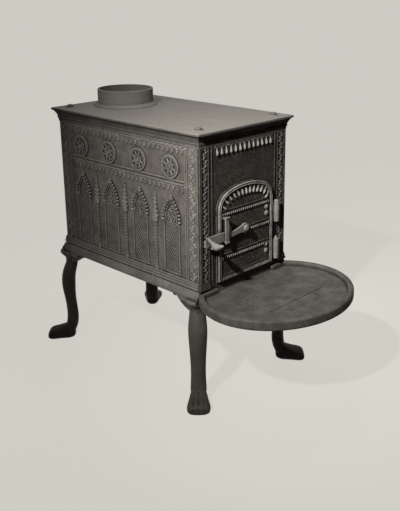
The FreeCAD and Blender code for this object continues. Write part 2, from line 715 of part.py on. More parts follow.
def flue_collar():
    """Ring for the stove pipe on a sloping foot."""
    top = TOP_HEIGHT + COLLAR_HEIGHT
    tube = post(0, COLLAR_Y, TOP_HEIGHT, top, COLLAR_R)
    tube = round_edges(tube, COLLAR_EDGE_ROUND, lambda e: e.BoundBox.ZMin > top - ROOT / 2)
    edge_top = TOP_HEIGHT + FLANGE_EDGE
    edge = post(0, COLLAR_Y, TOP_HEIGHT, edge_top, FLANGE_R)
    slope = Part.makeCone(FLANGE_R, COLLAR_R, FLANGE_HEIGHT - FLANGE_EDGE, V(0, COLLAR_Y, edge_top))
    collar = join([tube, edge, slope]).cut(post(0, COLLAR_Y, TOP_HEIGHT, top, COLLAR_BORE))
    deep = TOP_HEIGHT + COLLAR_BOLT_DEPTH
    holes = [post(x, y, TOP_HEIGHT, deep, COLLAR_BOLT_R) for x, y in collar_bolt_places()]
    return collar.cut(Part.makeCompound(holes))


def collar_bolt(x, y):
    """Bolt from below into the collar's flange."""
    shank = post(x, y, TOP_UNDER, TOP_HEIGHT + COLLAR_BOLT_DEPTH, COLLAR_BOLT_R)
    head = prism(hexagon(x, y, COLLAR_BOLT_HEAD_R), COLLAR_BOLT_HEAD, TOP_UNDER - COLLAR_BOLT_HEAD)
    return shank.fuse(head).removeSplitter()


def oval(inset, z0, z1):
    """Upright block on the hearth's oval outline, set inwards."""
    long_r = HEARTH_HALF - inset
    short_r = HEARTH_REACH - HEARTH_CENTRE - inset
    curve = Part.Ellipse(V(0, -HEARTH_CENTRE, z0), long_r, short_r)
    return Part.Face(Part.Wire([curve.toShape()])).extrude(V(0, 0, z1 - z0))


def hearth_lines(z):
    """Shallow cast lines on the hearth's floor."""
    reach = LINE_REACH
    w = LINE_WIDTH
    low = z - LINE_DEPTH
    return [
        box(-LINE_HALF - w, -LINE_HALF, -reach, -CURB_WIDTH, low, z),
        box(LINE_HALF, LINE_HALF + w, -reach, -CURB_WIDTH, low, z),
        box(-LINE_HALF - w, LINE_HALF + w, -reach - w, -reach, low, z),
    ]


def hearth_ridges(z):
    """Low round ridges along the inner side of the lines."""
    centre_z = z + RIDGE_UP - RIDGE_R
    half = LINE_HALF - RIDGE_R
    reach = LINE_REACH - RIDGE_R
    ridges = [cross_bead(half, -reach, centre_z, RIDGE_R)]
    for x in (-half, half):
        ridges.append(Part.makeCylinder(RIDGE_R, reach - CURB_WIDTH, V(x, -reach, centre_z), V(0, 1, 0)))
    return ridges


def hearth_plate():
    """Oval dish with a rounded rim, rear curbs and a tongue under the floor."""
    wide = 2 * HEARTH_HALF
    rear = box(-wide, wide, 0, wide, HEARTH_UNDER - ROOT, HEARTH_RIM + ROOT)
    blank = oval(0, HEARTH_UNDER, HEARTH_RIM)
    blank = round_edges(blank, HEARTH_ROUND, lambda e: e.BoundBox.ZLength < ROOT)
    dish = oval(HEARTH_RIM_WIDTH, HEARTH_FLOOR, HEARTH_RIM + HEARTH_ROUND)
    dish = dish.cut(box(-wide, wide, -CURB_WIDTH, wide, HEARTH_UNDER, HEARTH_RIM + wide))
    mouth = box(-CURB_END_HALF, CURB_END_HALF, -HEARTH_CENTRE, 0, HEARTH_FLOOR, HEARTH_RIM + HEARTH_ROUND)
    plate = blank.cut(rear).cut(dish.fuse(mouth).removeSplitter())
    plate = round_edges(plate, HEARTH_INNER_ROUND, inner_rim_edge)
    tongue = box(-TONGUE_HALF, TONGUE_HALF, -HEARTH_RIM_WIDTH, TONGUE_REACH, HEARTH_UNDER, LEG_HEIGHT)
    plate = join([plate, tongue] + hearth_ridges(HEARTH_FLOOR))
    cuts = hearth_lines(HEARTH_FLOOR)
    bolt_hole = FLOOR_BOLT_R + BOLT_CLEARANCE
    cuts += [post(x, y, HEARTH_UNDER, LEG_HEIGHT, bolt_hole) for x, y in tongue_bolt_places()]
    return plate.cut(Part.makeCompound(cuts))


def inner_rim_edge(edge):
    """True for the dish's upper inner edges, away from the wall."""
    span = edge.BoundBox
    level = span.ZMin > HEARTH_RIM - ROOT / 2
    inside = max(abs(span.XMin), abs(span.XMax)) < HEARTH_HALF - HEARTH_ROUND - ROOT
    return level and inside and span.YMax < -ROOT / 2 and span.YMin > ROOT + HEARTH_ROUND - HEARTH_REACH


def tongue_bolt_places():
    """Bolt centres in the hearth's tongue."""
    return [(-TONGUE_BOLT_X, TONGUE_BOLT_Y), (TONGUE_BOLT_X, TONGUE_BOLT_Y)]


def floor_bolt_places():
    """Every bolt through the firebox floor."""
    return list(LEG_BOLT_PLACES) + tongue_bolt_places()


def floor_bolt(x, y, bottom):
    """Round-headed bolt down through the floor."""
    shank = post(x, y, bottom - FLOOR_NUT - FLOOR_BOLT_END, FIRE_FLOOR, FLOOR_BOLT_R)
    head = post(x, y, FIRE_FLOOR, FIRE_FLOOR + FLOOR_BOLT_HEAD, FLOOR_BOLT_HEAD_R)
    upper = FIRE_FLOOR + FLOOR_BOLT_HEAD / 2
    head = round_edges(head, FLOOR_BOLT_ROUND, lambda e: e.BoundBox.ZMin > upper)
    return shank.fuse(head).removeSplitter()


def floor_nut(x, y, bottom):
    """Hexagon nut under the floor."""
    return prism(hexagon(x, y, FLOOR_NUT_R), FLOOR_NUT, bottom - FLOOR_NUT).cut(
        post(x, y, bottom - FLOOR_NUT, bottom, FLOOR_BOLT_R))


def closed_curve(points):
    """Closed smooth wire through points."""
    curve = Part.BSplineCurve()
    curve.interpolate(points, PeriodicFlag=True)
    return Part.Wire([curve.toShape()])


def leg_section(height, outer, inner, half):
    """Oval cut through the leg at one height."""
    middle = (outer + inner) / 2
    reach = (outer - inner) / 2
    turns = [2 * math.pi * k / SECTION_POINTS for k in range(SECTION_POINTS)]
    return closed_curve([V(middle + reach * math.cos(t), half * math.sin(t), height) for t in turns])


def bent_power(value, power):
    """Signed power, used for squared ovals."""
    return math.copysign(abs(value) ** power, value)


def foot_section(reach, half, under, top):
    """Squared oval cut across the foot."""
    power = 2 / FOOT_SQUARENESS
    middle = (under + top) / 2
    tall = (top - under) / 2
    turns = [2 * math.pi * k / SECTION_POINTS for k in range(SECTION_POINTS)]
    across = [half * bent_power(math.cos(t), power) for t in turns]
    heights = [middle + tall * bent_power(math.sin(t), power) for t in turns]
    return closed_curve([V(reach, w, z) for w, z in zip(across, heights)])


def toe_groove(across):
    """Round cutter along the top of the foot, and down its front."""
    start = V(TOE_GROOVE_START, across * TOE_GROOVE_PINCH, TOE_GROOVE_Z0)
    last = FOOT_SECTIONS[-1][0]
    bend = V(last - TOE_GROOVE_BACK, across, TOE_GROOVE_Z1)
    upper = Part.makeCylinder(TOE_GROOVE_R, (bend - start).Length, start, bend - start)
    front = Part.makeCylinder(TOE_GROOVE_R, TOE_GROOVE_Z1, V(last + TOE_GROOVE_PROUD, across, 0))
    return upper.fuse(front)


def wing():
    """Curved bracket along one wall, in the leg's own frame, drawn along +X."""
    z = LEG_HEIGHT
    low = z - WING_DROP
    y = WING_INSET
    bend = V((WING_JOIN + WING_REACH) / 2 + WING_BULGE, y, z - WING_DROP / 2 - WING_BULGE)
    edges = [
        Part.makeLine(V(y, y, z), V(WING_REACH, y, z)),
        Part.Arc(V(WING_REACH, y, z), bend, V(WING_JOIN, y, low)).toShape(),
        Part.makeLine(V(WING_JOIN, y, low), V(y, y, low)),
        Part.makeLine(V(y, y, low), V(y, y, z)),
    ]
    blade = Part.Face(Part.Wire(edges)).extrude(V(0, WING_THICK, 0))
    lobe = Part.makeCylinder(LOBE_R, WING_THICK, V(WING_REACH + LOBE_OUT, y, z), V(0, 1, 0))
    lobe = lobe.common(box(0, WING_REACH + 2 * LOBE_R, 0, WING_REACH, low, z))
    edge = BLOCK_INSET
    drop = z - BLOCK_DROP
    slant = V(BLOCK_REACH - BLOCK_SLANT, edge, drop)
    corners = [V(edge, edge, z), V(BLOCK_REACH, edge, z), slant, V(edge, edge, drop)]
    block = Part.Face(Part.makePolygon(corners + corners[:1])).extrude(V(0, y + ROOT - edge, 0))
    return blade.multiFuse([lobe, block])


def leg_blank():
    """Bowed leg with its paw, pointing outwards along +X from the base corner."""
    cuts = [leg_section(share * LEG_HEIGHT, outer, inner, half) for share, outer, inner, half in LEG_SECTIONS]
    column = Part.makeLoft(cuts, True, False)
    foot = Part.makeLoft([foot_section(*cut) for cut in FOOT_SECTIONS], True, False)
    leg = column.fuse(foot)
    leg = leg.cut(Part.makeCompound([toe_groove(across) for across in TOE_GROOVES]))
    wide = 2 * LEG_HEIGHT
    return leg.cut(box(-wide, wide, -wide, wide, -wide, 0))


def leg(corner_y, sy):
    """Left leg at one corner, its paw turned outwards, with its two wings."""
    column = leg_blank()
    column.rotate(V(0, 0, 0), V(0, 0, 1), 180 - LEG_TURN * sy)
    along_x = wing()
    along_y = along_x.mirror(V(0, 0, 0), V(1, -1, 0))
    wings = along_x.fuse(along_y)
    if sy > 0:
        wings = wings.mirror(V(0, 0, 0), V(0, 1, 0))
    shape = column.fuse(wings).removeSplitter()
    shape.translate(V(-BASE_CORNER, corner_y, 0))
    x, y = (-BOLT_INNER, corner_y - sy * LEG_BOLT_IN)
    near = LEG_PAD_REACH - LEG_PAD_HALF
    ys = sorted((y - sy * LEG_PAD_HALF, y + sy * near))
    pad = box(x - near, x + LEG_PAD_HALF, ys[0], ys[1], LEG_HEIGHT - LEG_PAD_THICK, LEG_HEIGHT)
    shape = shape.fuse(pad).removeSplitter()
    wide = 2 * LEG_HEIGHT
    front = box(-wide, wide, -wide, SEAT_GAP, HEARTH_UNDER - SEAT_GAP, LEG_HEIGHT)
    hole = post(x, y, LEG_HEIGHT - LEG_PAD_THICK, LEG_HEIGHT, FLOOR_BOLT_R + BOLT_CLEARANCE)
    return shape.cut(Part.makeCompound([front, hole]))


def strap_notch(z):
    """Room for one hinge strap in the back of the door."""
    reach = LEAF_HALF + LEAF_CLEARANCE
    return box(LEAF_INNER, DOOR_HALF + ROOT, -PLATE_BACK, -DOOR_GAP + ROOT, z - reach, z + reach)


def band_strip(reach, top):
    """Flat strip under one of the door's beads."""
    return box(-reach, reach, -PLATE_FACE - BAND_STRIP_OUT, -PLATE_FACE + ROOT, top - BAND_STRIP_HEIGHT, top)


def door():
    """Arched door with its stepped rim, bands and pivot boss."""
    lip = arch_block(0, DOOR_GAP, LIP_DEPTH)
    rim = arch_block(LIP_STEP, DOOR_GAP, RIM_DEPTH)
    front_edge = -RIM_DEPTH + ROOT / 2
    rim = round_edges(rim, RIM_ROUND, lambda e: e.BoundBox.YMax < front_edge)
    hollow = arch_block(RIM_WIDTH, DOOR_GAP, RIM_DEPTH)
    plate = arch_block(LIP_STEP + ROOT, PLATE_BACK, PLATE_FACE)
    pieces = [lip.fuse(rim).cut(hollow), plate]
    reach = DOOR_HALF - RIM_WIDTH + ROOT
    for z in [DOOR_BOTTOM + up for up in BAND_UPS]:
        pieces.append(cross_bead(reach, -PLATE_FACE + ROOT / 2, z, BAND_BEAD_R))
        pieces.append(band_strip(reach, z - BAND_STRIP_DROP))
    pieces.append(stud(LATCH_X, LATCH_Z, PLATE_BACK, LATCH_BACK - THRUST_GAP, BOSS_R))
    cuts = [strap_notch(z) for z in LEAF_CENTRES]
    cuts += [stud(x, z, DOOR_GAP, PLATE_FACE, RIVET_R) for x, z in rivet_places()]
    cuts += [stud(x, z, PLATE_FACE, RIM_DEPTH, RIVET_HEAD_R + SEAT_GAP) for x, z in rivet_places()]
    cuts.append(stud(LATCH_X, LATCH_Z, DOOR_GAP, LATCH_BACK, PIVOT_R))
    cuts += staple_tenons()
    return join(pieces).cut(Part.makeCompound(cuts))


def rivet_places():
    """Rivet centres on the door."""
    return [(RIVET_X, z + side * RIVET_SPREAD) for z in LEAF_CENTRES for side in (-1, 1)]


def hinge_rivet(x, z):
    """Domed rivet through the door and its strap."""
    shank = stud(x, z, PLATE_BACK - LEAF_THICK, PLATE_FACE, RIVET_R)
    ball_r = (RIVET_HEAD_R ** 2 + RIVET_HEAD ** 2) / (2 * RIVET_HEAD)
    ball = Part.makeSphere(ball_r, V(x, -PLATE_FACE - RIVET_HEAD + ball_r, z))
    cap = ball.common(stud(x, z, PLATE_FACE, PLATE_FACE + RIVET_HEAD + ROOT, RIVET_HEAD_R + ROOT))
    return shank.fuse(cap).removeSplitter()


def hinge_strap(foot, centre):
    """Leaf behind the door with its knuckle round the pin."""
    z0 = foot + BRACKET_HEIGHT + THRUST_GAP
    z1 = z0 + KNUCKLE_HEIGHT
    front = PLATE_BACK
    back = PLATE_BACK - LEAF_THICK
    leaf = box(LEAF_INNER + LEAF_CLEARANCE, LEAF_OUTER, -front, -back, centre - LEAF_HALF, centre + LEAF_HALF)
    web = box(HINGE_X - KNUCKLE_R, LEAF_OUTER, -HINGE_DEPTH, -back, centre - LEAF_HALF, centre + LEAF_HALF)
    knuckle = post(HINGE_X, -HINGE_DEPTH, z0, z1, KNUCKLE_R)
    strap = join([leaf, web, knuckle])
    cuts = [post(HINGE_X, -HINGE_DEPTH, z0, z1, PIN_R + PIN_RUN)]
    cuts += [stud(RIVET_X, centre + side * RIVET_SPREAD, back, front, RIVET_R) for side in (-1, 1)]
    return strap.cut(Part.makeCompound(cuts))


def hinge_bracket(foot):
    """Eye with its arm and a tenon riveted through the front plate."""
    z1 = foot + BRACKET_HEIGHT
    z = hinge_tenon_z(foot)
    eye = post(HINGE_X, -HINGE_DEPTH, foot, z1, BRACKET_R)
    half = BRACKET_ARM_HALF
    arm = box(HINGE_X - half, HINGE_X + half, -HINGE_DEPTH, -PAD_DEPTH, foot + ROOT, z1 - ROOT)
    tenon = stud(HINGE_X, z, -WALL, PAD_DEPTH, TENON_R)
    head = stud(HINGE_X, z, -WALL - TENON_HEAD, -WALL, TENON_HEAD_R)
    return join([eye, arm, tenon, head]).cut(post(HINGE_X, -HINGE_DEPTH, foot, z1, PIN_R + PIN_SEAT))


def hinge_pin(foot, pointed):
    """Pin fixed in the bracket, with a domed or pointed cap."""
    knuckle_top = foot + BRACKET_HEIGHT + THRUST_GAP + KNUCKLE_HEIGHT
    cap_z = knuckle_top + THRUST_GAP
    shank = post(HINGE_X, -HINGE_DEPTH, foot - PIN_FOOT, cap_z + ROOT, PIN_R)
    seat = V(HINGE_X, -HINGE_DEPTH, cap_z)
    if pointed:
        cap = Part.makeCone(PIN_CAP_R, PIN_POINT_R, PIN_POINT_HEIGHT, seat)
    else:
        cap = Part.makeCylinder(PIN_CAP_R, PIN_CAP_HEIGHT, seat)
        cap = round_edges(cap, PIN_CAP_ROUND, lambda e: e.BoundBox.ZMin > cap_z + ROOT)
    return shank.fuse(cap).removeSplitter()


def smooth_edge(points):
    """Smooth edge of the latch bar through points given from its pivot."""
    curve = Part.BSplineCurve()
    curve.interpolate([V(LATCH_X + x, -LATCH_BACK, LATCH_Z + z) for x, z in points])
    return curve.toShape()


def handle_section(x, z, depth, wide, tall):
    """Oval cut across the handle."""
    middle = V(LATCH_X + x, -depth, LATCH_Z + z)
    turns = [2 * math.pi * k / SECTION_POINTS for k in range(SECTION_POINTS)]
    return closed_curve([middle + V(wide * math.cos(t), 0, tall * math.sin(t)) for t in turns])


def latch_handle():
    """Thin arm that swells into a paddle, standing out from the end of the bar."""
    return Part.makeLoft([handle_section(*cut) for cut in HANDLE_PATH], True, False)


def latch_bar():
    """Lift bar with its eye, flat end and handle."""
    upper = smooth_edge(BAR_UPPER)
    lower = smooth_edge(BAR_LOWER)
    tip = upper.valueAt(upper.LastParameter)
    heel = V(tip.x, tip.y, LATCH_Z + BAR_LOWER[0][1])
    edges = [
        upper,
        Part.makeLine(tip, heel),
        Part.makeLine(heel, lower.valueAt(lower.FirstParameter)),
        lower,
        Part.makeLine(lower.valueAt(lower.LastParameter), upper.valueAt(upper.FirstParameter)),
    ]
    blade = Part.Face(Part.Wire(edges)).extrude(V(0, -LATCH_THICK, 0))
    tail_x = tip.x - BAR_TAIL_WIDTH
    tail = box(tail_x, tip.x + ROOT, -LATCH_FRONT, -LATCH_BACK, heel.z, heel.z + BAR_TAIL_HEIGHT)
    hub = stud(LATCH_X, LATCH_Z, LATCH_BACK, LATCH_FRONT, LATCH_HUB_R)
    bar = join([hub, blade, tail, latch_handle()])
    return bar.cut(stud(LATCH_X, LATCH_Z, LATCH_BACK, LATCH_FRONT, PIVOT_R + LATCH_RUN))


def latch_pivot_bolt():
    """Pivot with a domed head in front of the bar."""
    seat = LATCH_FRONT + THRUST_GAP
    shank = stud(LATCH_X, LATCH_Z, PLATE_BACK - PIVOT_NUT, seat, PIVOT_R)
    head = stud(LATCH_X, LATCH_Z, seat, seat + PIVOT_HEAD, PIVOT_HEAD_R)
    head = round_edges(head, PIVOT_HEAD_ROUND, lambda e: e.BoundBox.YMax < -seat - PIVOT_HEAD / 2)
    return shank.fuse(head).removeSplitter()


def latch_pivot_nut():
    """Hexagon nut behind the door."""
    shape = prism(hexagon(0, 0, PIVOT_NUT_R), PIVOT_NUT, 0).cut(post(0, 0, 0, PIVOT_NUT, PIVOT_R))
    shape.rotate(V(0, 0, 0), V(1, 0, 0), 90)
    shape.translate(V(LATCH_X, -PLATE_BACK + PIVOT_NUT, LATCH_Z))
    return shape


def staple_tenons():
    """Two tenons of the staple in the door's plate."""
    return [stud(STAPLE_X, z, PLATE_BACK, PLATE_FACE, STAPLE_TENON_R)
            for z in (STAPLE_BOTTOM + STAPLE_THICK / 2, STAPLE_TOP - STAPLE_THICK / 2)]


def latch_staple():
    """Upright strap that guides the bar, with curled ends."""
    d0 = LATCH_FRONT + STAPLE_GAP
    d1 = d0 + STAPLE_THICK
    x0 = STAPLE_X - STAPLE_HALF
    x1 = STAPLE_X + STAPLE_HALF
    pieces = [box(x0, x1, -d1, -d0, STAPLE_BOTTOM, STAPLE_TOP)]
    pieces.append(box(x0, x1, -d0, -PLATE_FACE, STAPLE_BOTTOM, STAPLE_BOTTOM + STAPLE_THICK))
    pieces.append(box(x0, x1, -d0, -PLATE_FACE, STAPLE_TOP - STAPLE_THICK, STAPLE_TOP))
    for z in (STAPLE_BOTTOM, STAPLE_TOP):
        pieces.append(Part.makeCylinder(STAPLE_CURL_R, 2 * STAPLE_HALF, V(x0, -d1, z), V(1, 0, 0)))
    return join(pieces + staple_tenons())


def latch_keeper():
    """Hook on the front plate that holds the bar's end."""
    top = keeper_top()
    nose = LATCH_FRONT + KEEPER_GAP
    x0 = KEEPER_X - KEEPER_HALF
    x1 = KEEPER_X + KEEPER_HALF
    shelf = box(x0, x1, -nose - KEEPER_NOSE, -KEEPER_PAD_DEPTH, top - KEEPER_SHELF, top)
    hook = box(x0, x1, -nose - KEEPER_NOSE, -nose, top - KEEPER_SHELF, top + KEEPER_NOSE_RISE)
    tenon = stud(KEEPER_X, top - KEEPER_SHELF / 2, -WALL, KEEPER_PAD_DEPTH, KEEPER_TENON_R)
    return join([shelf, hook, tenon])


def group(shapes):
    """Several equal pieces kept apart in one node."""
    return Part.makeCompound(shapes)


def every_node():
    """All nodes by name, before they move to the base centre."""
    left = left_side_plate()
    front_left = leg(0.0, -1)
    rear_left = leg(BODY_LENGTH + BASE_OVERHANG, 1)
    nut_z = TOP_HEIGHT + WASHER_THICK
    leg_under = LEG_HEIGHT - LEG_PAD_THICK
    return {
        "top_plate": top_plate(),
        "bottom_plate": bottom_plate(),
        "left_side_plate": left,
        "right_side_plate": flip(left),
        "front_plate": front_plate(),
        "back_plate": back_plate(),
        "tie_rods": group([tie_rod(x, y) for x, y in ROD_PLACES]),
        "tie_rod_washers": group([tie_rod_washer(x, y) for x, y in ROD_PLACES]),
        "tie_rod_nuts": group([nut(x, y, nut_z, NUT_HEIGHT, NUT_R, ROD_R) for x, y in ROD_PLACES]),
        "flue_collar": flue_collar(),
        "collar_bolts": group([collar_bolt(x, y) for x, y in collar_bolt_places()]),
        "hearth_plate": hearth_plate(),
        "hearth_bolts": group([floor_bolt(x, y, HEARTH_UNDER) for x, y in tongue_bolt_places()]),
        "hearth_nuts": group([floor_nut(x, y, HEARTH_UNDER) for x, y in tongue_bolt_places()]),
        "front_left_leg": front_left,
        "front_right_leg": flip(front_left),
        "rear_left_leg": rear_left,
        "rear_right_leg": flip(rear_left),
        "leg_bolts": group([floor_bolt(x, y, leg_under) for x, y in LEG_BOLT_PLACES]),
        "leg_nuts": group([floor_nut(x, y, leg_under) for x, y in LEG_BOLT_PLACES]),
        "door": door(),
        "upper_hinge_strap": hinge_strap(HINGE_FOOT[0], LEAF_CENTRES[0]),
        "lower_hinge_strap": hinge_strap(HINGE_FOOT[1], LEAF_CENTRES[1]),
        "hinge_rivets": group([hinge_rivet(x, z) for x, z in rivet_places()]),
        "upper_hinge_bracket": hinge_bracket(HINGE_FOOT[0]),
        "lower_hinge_bracket": hinge_bracket(HINGE_FOOT[1]),
        "upper_hinge_pin": hinge_pin(HINGE_FOOT[0], False),
        "lower_hinge_pin": hinge_pin(HINGE_FOOT[1], True),
        "latch_bar": latch_bar(),
        "latch_pivot_bolt": latch_pivot_bolt(),
        "latch_pivot_nut": latch_pivot_nut(),
        "latch_staple": latch_staple(),
        "latch_keeper": latch_keeper(),
    }


nodes = every_node()
whole = Part.makeCompound(list(nodes.values())).optimalBoundingBox(False, False)
shift = V(0, -(whole.YMin + whole.YMax) / 2, 0)
for name, shape in nodes.items():
    shape.translate(shift)
    print(name, len(shape.Solids), shape.isValid(), round(shape.Volume))
    shape.exportStep("parts/" + name + ".step")
print("front face at y", round(shift.y, 3), "box", whole)
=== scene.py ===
import json
import math

import bpy
from mathutils import Matrix, Vector


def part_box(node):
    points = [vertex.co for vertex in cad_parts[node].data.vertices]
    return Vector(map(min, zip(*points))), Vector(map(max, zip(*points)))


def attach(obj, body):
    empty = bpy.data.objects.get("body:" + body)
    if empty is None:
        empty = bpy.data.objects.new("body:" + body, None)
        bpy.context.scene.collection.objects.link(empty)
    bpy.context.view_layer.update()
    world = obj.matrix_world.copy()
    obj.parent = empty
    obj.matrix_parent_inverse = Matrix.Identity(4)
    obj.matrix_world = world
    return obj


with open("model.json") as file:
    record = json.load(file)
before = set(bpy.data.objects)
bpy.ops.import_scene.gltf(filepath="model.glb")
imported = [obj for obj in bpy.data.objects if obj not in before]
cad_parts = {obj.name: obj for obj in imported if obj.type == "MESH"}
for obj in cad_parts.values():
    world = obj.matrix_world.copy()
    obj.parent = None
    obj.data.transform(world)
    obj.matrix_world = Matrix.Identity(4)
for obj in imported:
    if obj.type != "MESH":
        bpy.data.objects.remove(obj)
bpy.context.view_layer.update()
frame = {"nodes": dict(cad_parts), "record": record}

# Sizes in metres. The front faces -Y, +Z is up, and the floor is at zero.
top_low, top_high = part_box("top_plate")
door_low, door_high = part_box("door")
rivets_low, rivets_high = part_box("hinge_rivets")
TOP_OVERHANG = 0.015
TOP_FACE = top_high.z
LEG_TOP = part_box("bottom_plate")[0].z
HALF_WIDTH = top_high.x - TOP_OVERHANG
LENGTH = top_high.y - top_low.y - 2 * TOP_OVERHANG
FRONT_Y = top_low.y + TOP_OVERHANG
MIDDLE_Y = FRONT_Y + LENGTH / 2

# Mouldings round the shell: drops count down from the top's face, the plinth up from the legs
TOP_BEAD_DROP = 0.040
MID_BEAD_DROP = 0.132
CORNICE_BAND_DROP = 0.0295
CORNICE_BAND_OUT = 0.0024
PLINTH_HEIGHT = 0.043
TOP_BEAD = TOP_FACE - TOP_BEAD_DROP
MID_BEAD = TOP_FACE - MID_BEAD_DROP
CORNICE_BAND = TOP_FACE - CORNICE_BAND_DROP
PLINTH_TOP = LEG_TOP + PLINTH_HEIGHT
BORDER_TALL = TOP_BEAD - PLINTH_TOP
BORDER_HEIGHT = (TOP_BEAD + PLINTH_TOP) / 2
BEAD_R = 0.0013

# Side walls: four bays of a rosette over a pointed window, with pinnacles between.
# The sill and the pinnacle's capital count up from the legs.
BAYS = 4
BAY_PITCH = 0.116
FIELD_HALF = 0.223
BORDER_BEAD = 0.226
BORDER_BEAD_OUT = 0.0006
BORDER_MIDDLE = 0.2465
TOP_FRINGE_DROP = 0.001
MID_FRINGE_DROP = 0.0015
ROSETTE_DROP = 0.093
ROSETTE_OUT = 0.0004
ROSETTE_LOBES = 8
WINDOW_SILL_UP = 0.051
WINDOW_STRAIGHT = 0.132
WINDOW_SPRING = LEG_TOP + WINDOW_SILL_UP + WINDOW_STRAIGHT
WINDOW_HALF = 0.028
WINDOW_RISE = 0.056
PANE_HALF = 0.0205
PANE_SHORT = 0.006
PANE_DROP = 0.001
SHAFT_OUT = 0.0022
CAP_TOP_UP = 0.181
SPIRE_HEIGHT = 0.064
SPIRE_HALF = 0.0065

# Knobs and rings of a pinnacle, as wide, tall and out, and their heights from the top of its capital
TIP_KNOB = (0.0072, 0.009, 0.0042)
TIP_KNOB_UP = 0.001
TIP_RING = (0.0115, 0.0042, 0.0034)
TIP_RING_DROP = 0.0045
CAP_RING = (0.021, 0.0048, 0.0062)
CAP_RING_DROPS = (0.0012, 0.0085)
FOOT_RING = (0.0125, 0.0055, 0.0048)
FOOT_RING_DROPS = (0.131, 0.136)

# Front wall
PANEL_HALF = 0.104
FRONT_BORDER_MIDDLE = 0.1368
FRONT_FRINGE_DROP = 0.0015
PANEL_BEAD_R = 0.0012
PANEL_BEAD_DROP = 0.0028
PANEL_BEAD_OUT = 0.001

# Door: depths count outwards from the front wall's face, the bands' heights from the floor
DOOR_HALF = door_high.x
DOOR_BOTTOM = door_low.z
DOOR_RISE = 0.0585
DOOR_SPRING = door_high.z - DOOR_RISE
DOOR_CORNER = 0.0495
DOOR_FACE = 0.0056
DOOR_RIM_FRONT = 0.0084
DOOR_RIM_WIDTH = 0.011
BANDS = (0.320, 0.374, 0.428, 0.484)
BAND_STRIP_MIDDLE = 0.009
BAND_STRIP_FACE = 0.0076
BAND_REACH = 0.0875
RIVET_X = (rivets_low.x + rivets_high.x) / 2
RIVET_CLEAR = 0.009
RIDGE_INSETS = (0.0043, 0.0094)
RIDGE_R = 0.0013
RIDGE_SINK = 0.0004

# Steps and sides of the round forms
CORNER_STEPS = 12
CROWN_STEPS = 15
WINDOW_ARC_STEPS = 24
RIB_STEPS = 7
STEM_STEPS = 140
WIDE_RING_SIDES = 28
SMALL_RING_SIDES = 16
RIDGE_SIDES = 8
BAR_SIDES = 5
BAR_KNOB_SIDES = 7
BAR_KNOB_RINGS = 5
DROP_SIDES = 12
DROP_RINGS = 9
QUARTER_TURN = math.pi / 2

# Shares that shape the ornament: how deep knobs sit in the wall, how drops taper and hang,
# how ribs bend, and the curled tip of a leaf beside the leaf itself
SUNK_SHARE = 0.1
DROP_TAPER = 0.55
DROP_HANG = 0.38
RIB_BEND = 0.25
CURL_TAPER = 0.2
CURL_TIP_WIDE = 0.62
CURL_TIP_TALL = 0.6
CURL_TIP_OUT = 1.25
CURL_TIP_UP = 0.34

# Leaves: turns in radians, tapers as shares
SPIRE_LEAF_TURN = 0.6
BLADE_TAPER = 0.35
LOBE_TAPER = 0.3
LOBE_TURN = 0.7

# Marks in the iron, and the painted shade of its hollows: noise, and the stretch of it that shows, with the
# strength at both ends
BLOTCHES = {"scale": 26.0, "detail": 6.0, "roughness": 0.62}
STREAKS = {"scale": 55.0, "detail": 5.0, "roughness": 0.65}
SPECKS = {"detail": 3.0, "roughness": 0.55}
LIGHT_BLOTCHES = (0.36, 0.66, 0.0, 1.0)
DARK_STREAKS = (0.5, 0.72, 0.0, 0.7)
PALE_SPECKS = (0.56, 0.74, 0.0, 0.4)
DARK_SPECKS = (0.46, 0.3, 0.0, 0.5)
RUBBED_STREAKS = (0.3, 0.62, 0.0, 1.0)
EDGE_REACH = 0.0022
EDGE_STRETCH = (0.9, 0.45)
# Painted shade in hollows: how near other surfaces must be, then the stretch of nearness that shows and the
# shade's strength at both ends
PAINTED_SHADE_REACH = 0.008
PAINTED_HOLLOW_SHADE = (0.35, 0.95, 0.12, 1.0)
NEARNESS_SAMPLES = 8
SHEEN_STRETCH = (0.3, 0.7)
DULLER = 0.1
SLEEKER = 0.08
PIT_SCALE_SHARE = 0.55
PIT_DEPTHS = (0.0, 0.45, 0.0, 1.0)
BUMP_STRENGTH = 0.55
BUMP_DEPTH = 0.0009
GROUND_SKIN = 0.0003

# Light: lamps, a dim sky, and the pale ground and backdrop
LAMP_COLOUR = (1.0, 0.985, 0.955)
SKY_COLOUR = (0.62, 0.605, 0.57, 1.0)
SKY_STRENGTH = 0.01
BACKDROP_COLOUR = (0.61, 0.592, 0.54, 1.0)
FLOOR_COLOUR = (0.62, 0.605, 0.56, 1.0)
FLOOR_ROUGHNESS = 0.9
FLOOR_GLOW = (0.765, 0.744, 0.68, 1.0)
FLOOR_GLOW_SHARE = 0.8
FLOOR_BOUNCE = (0.05, 0.049, 0.046, 1.0)
FLOOR_HALF = 60.0

# The photograph's camera: bearing, tilt and roll in degrees, lens and centre in pixels
IMAGE_WIDE = 400
IMAGE_TALL = 511
VIEW_BEARING = 45.789
VIEW_TILT = 16.989
VIEW_ROLL = -0.5
VIEW_LENS = 759.1
VIEW_CENTRE = (213.5, 209.6)
VIEW_FROM_FRONT = Vector((-1.3374, -1.1956, 1.0172))
SENSOR = 36.0


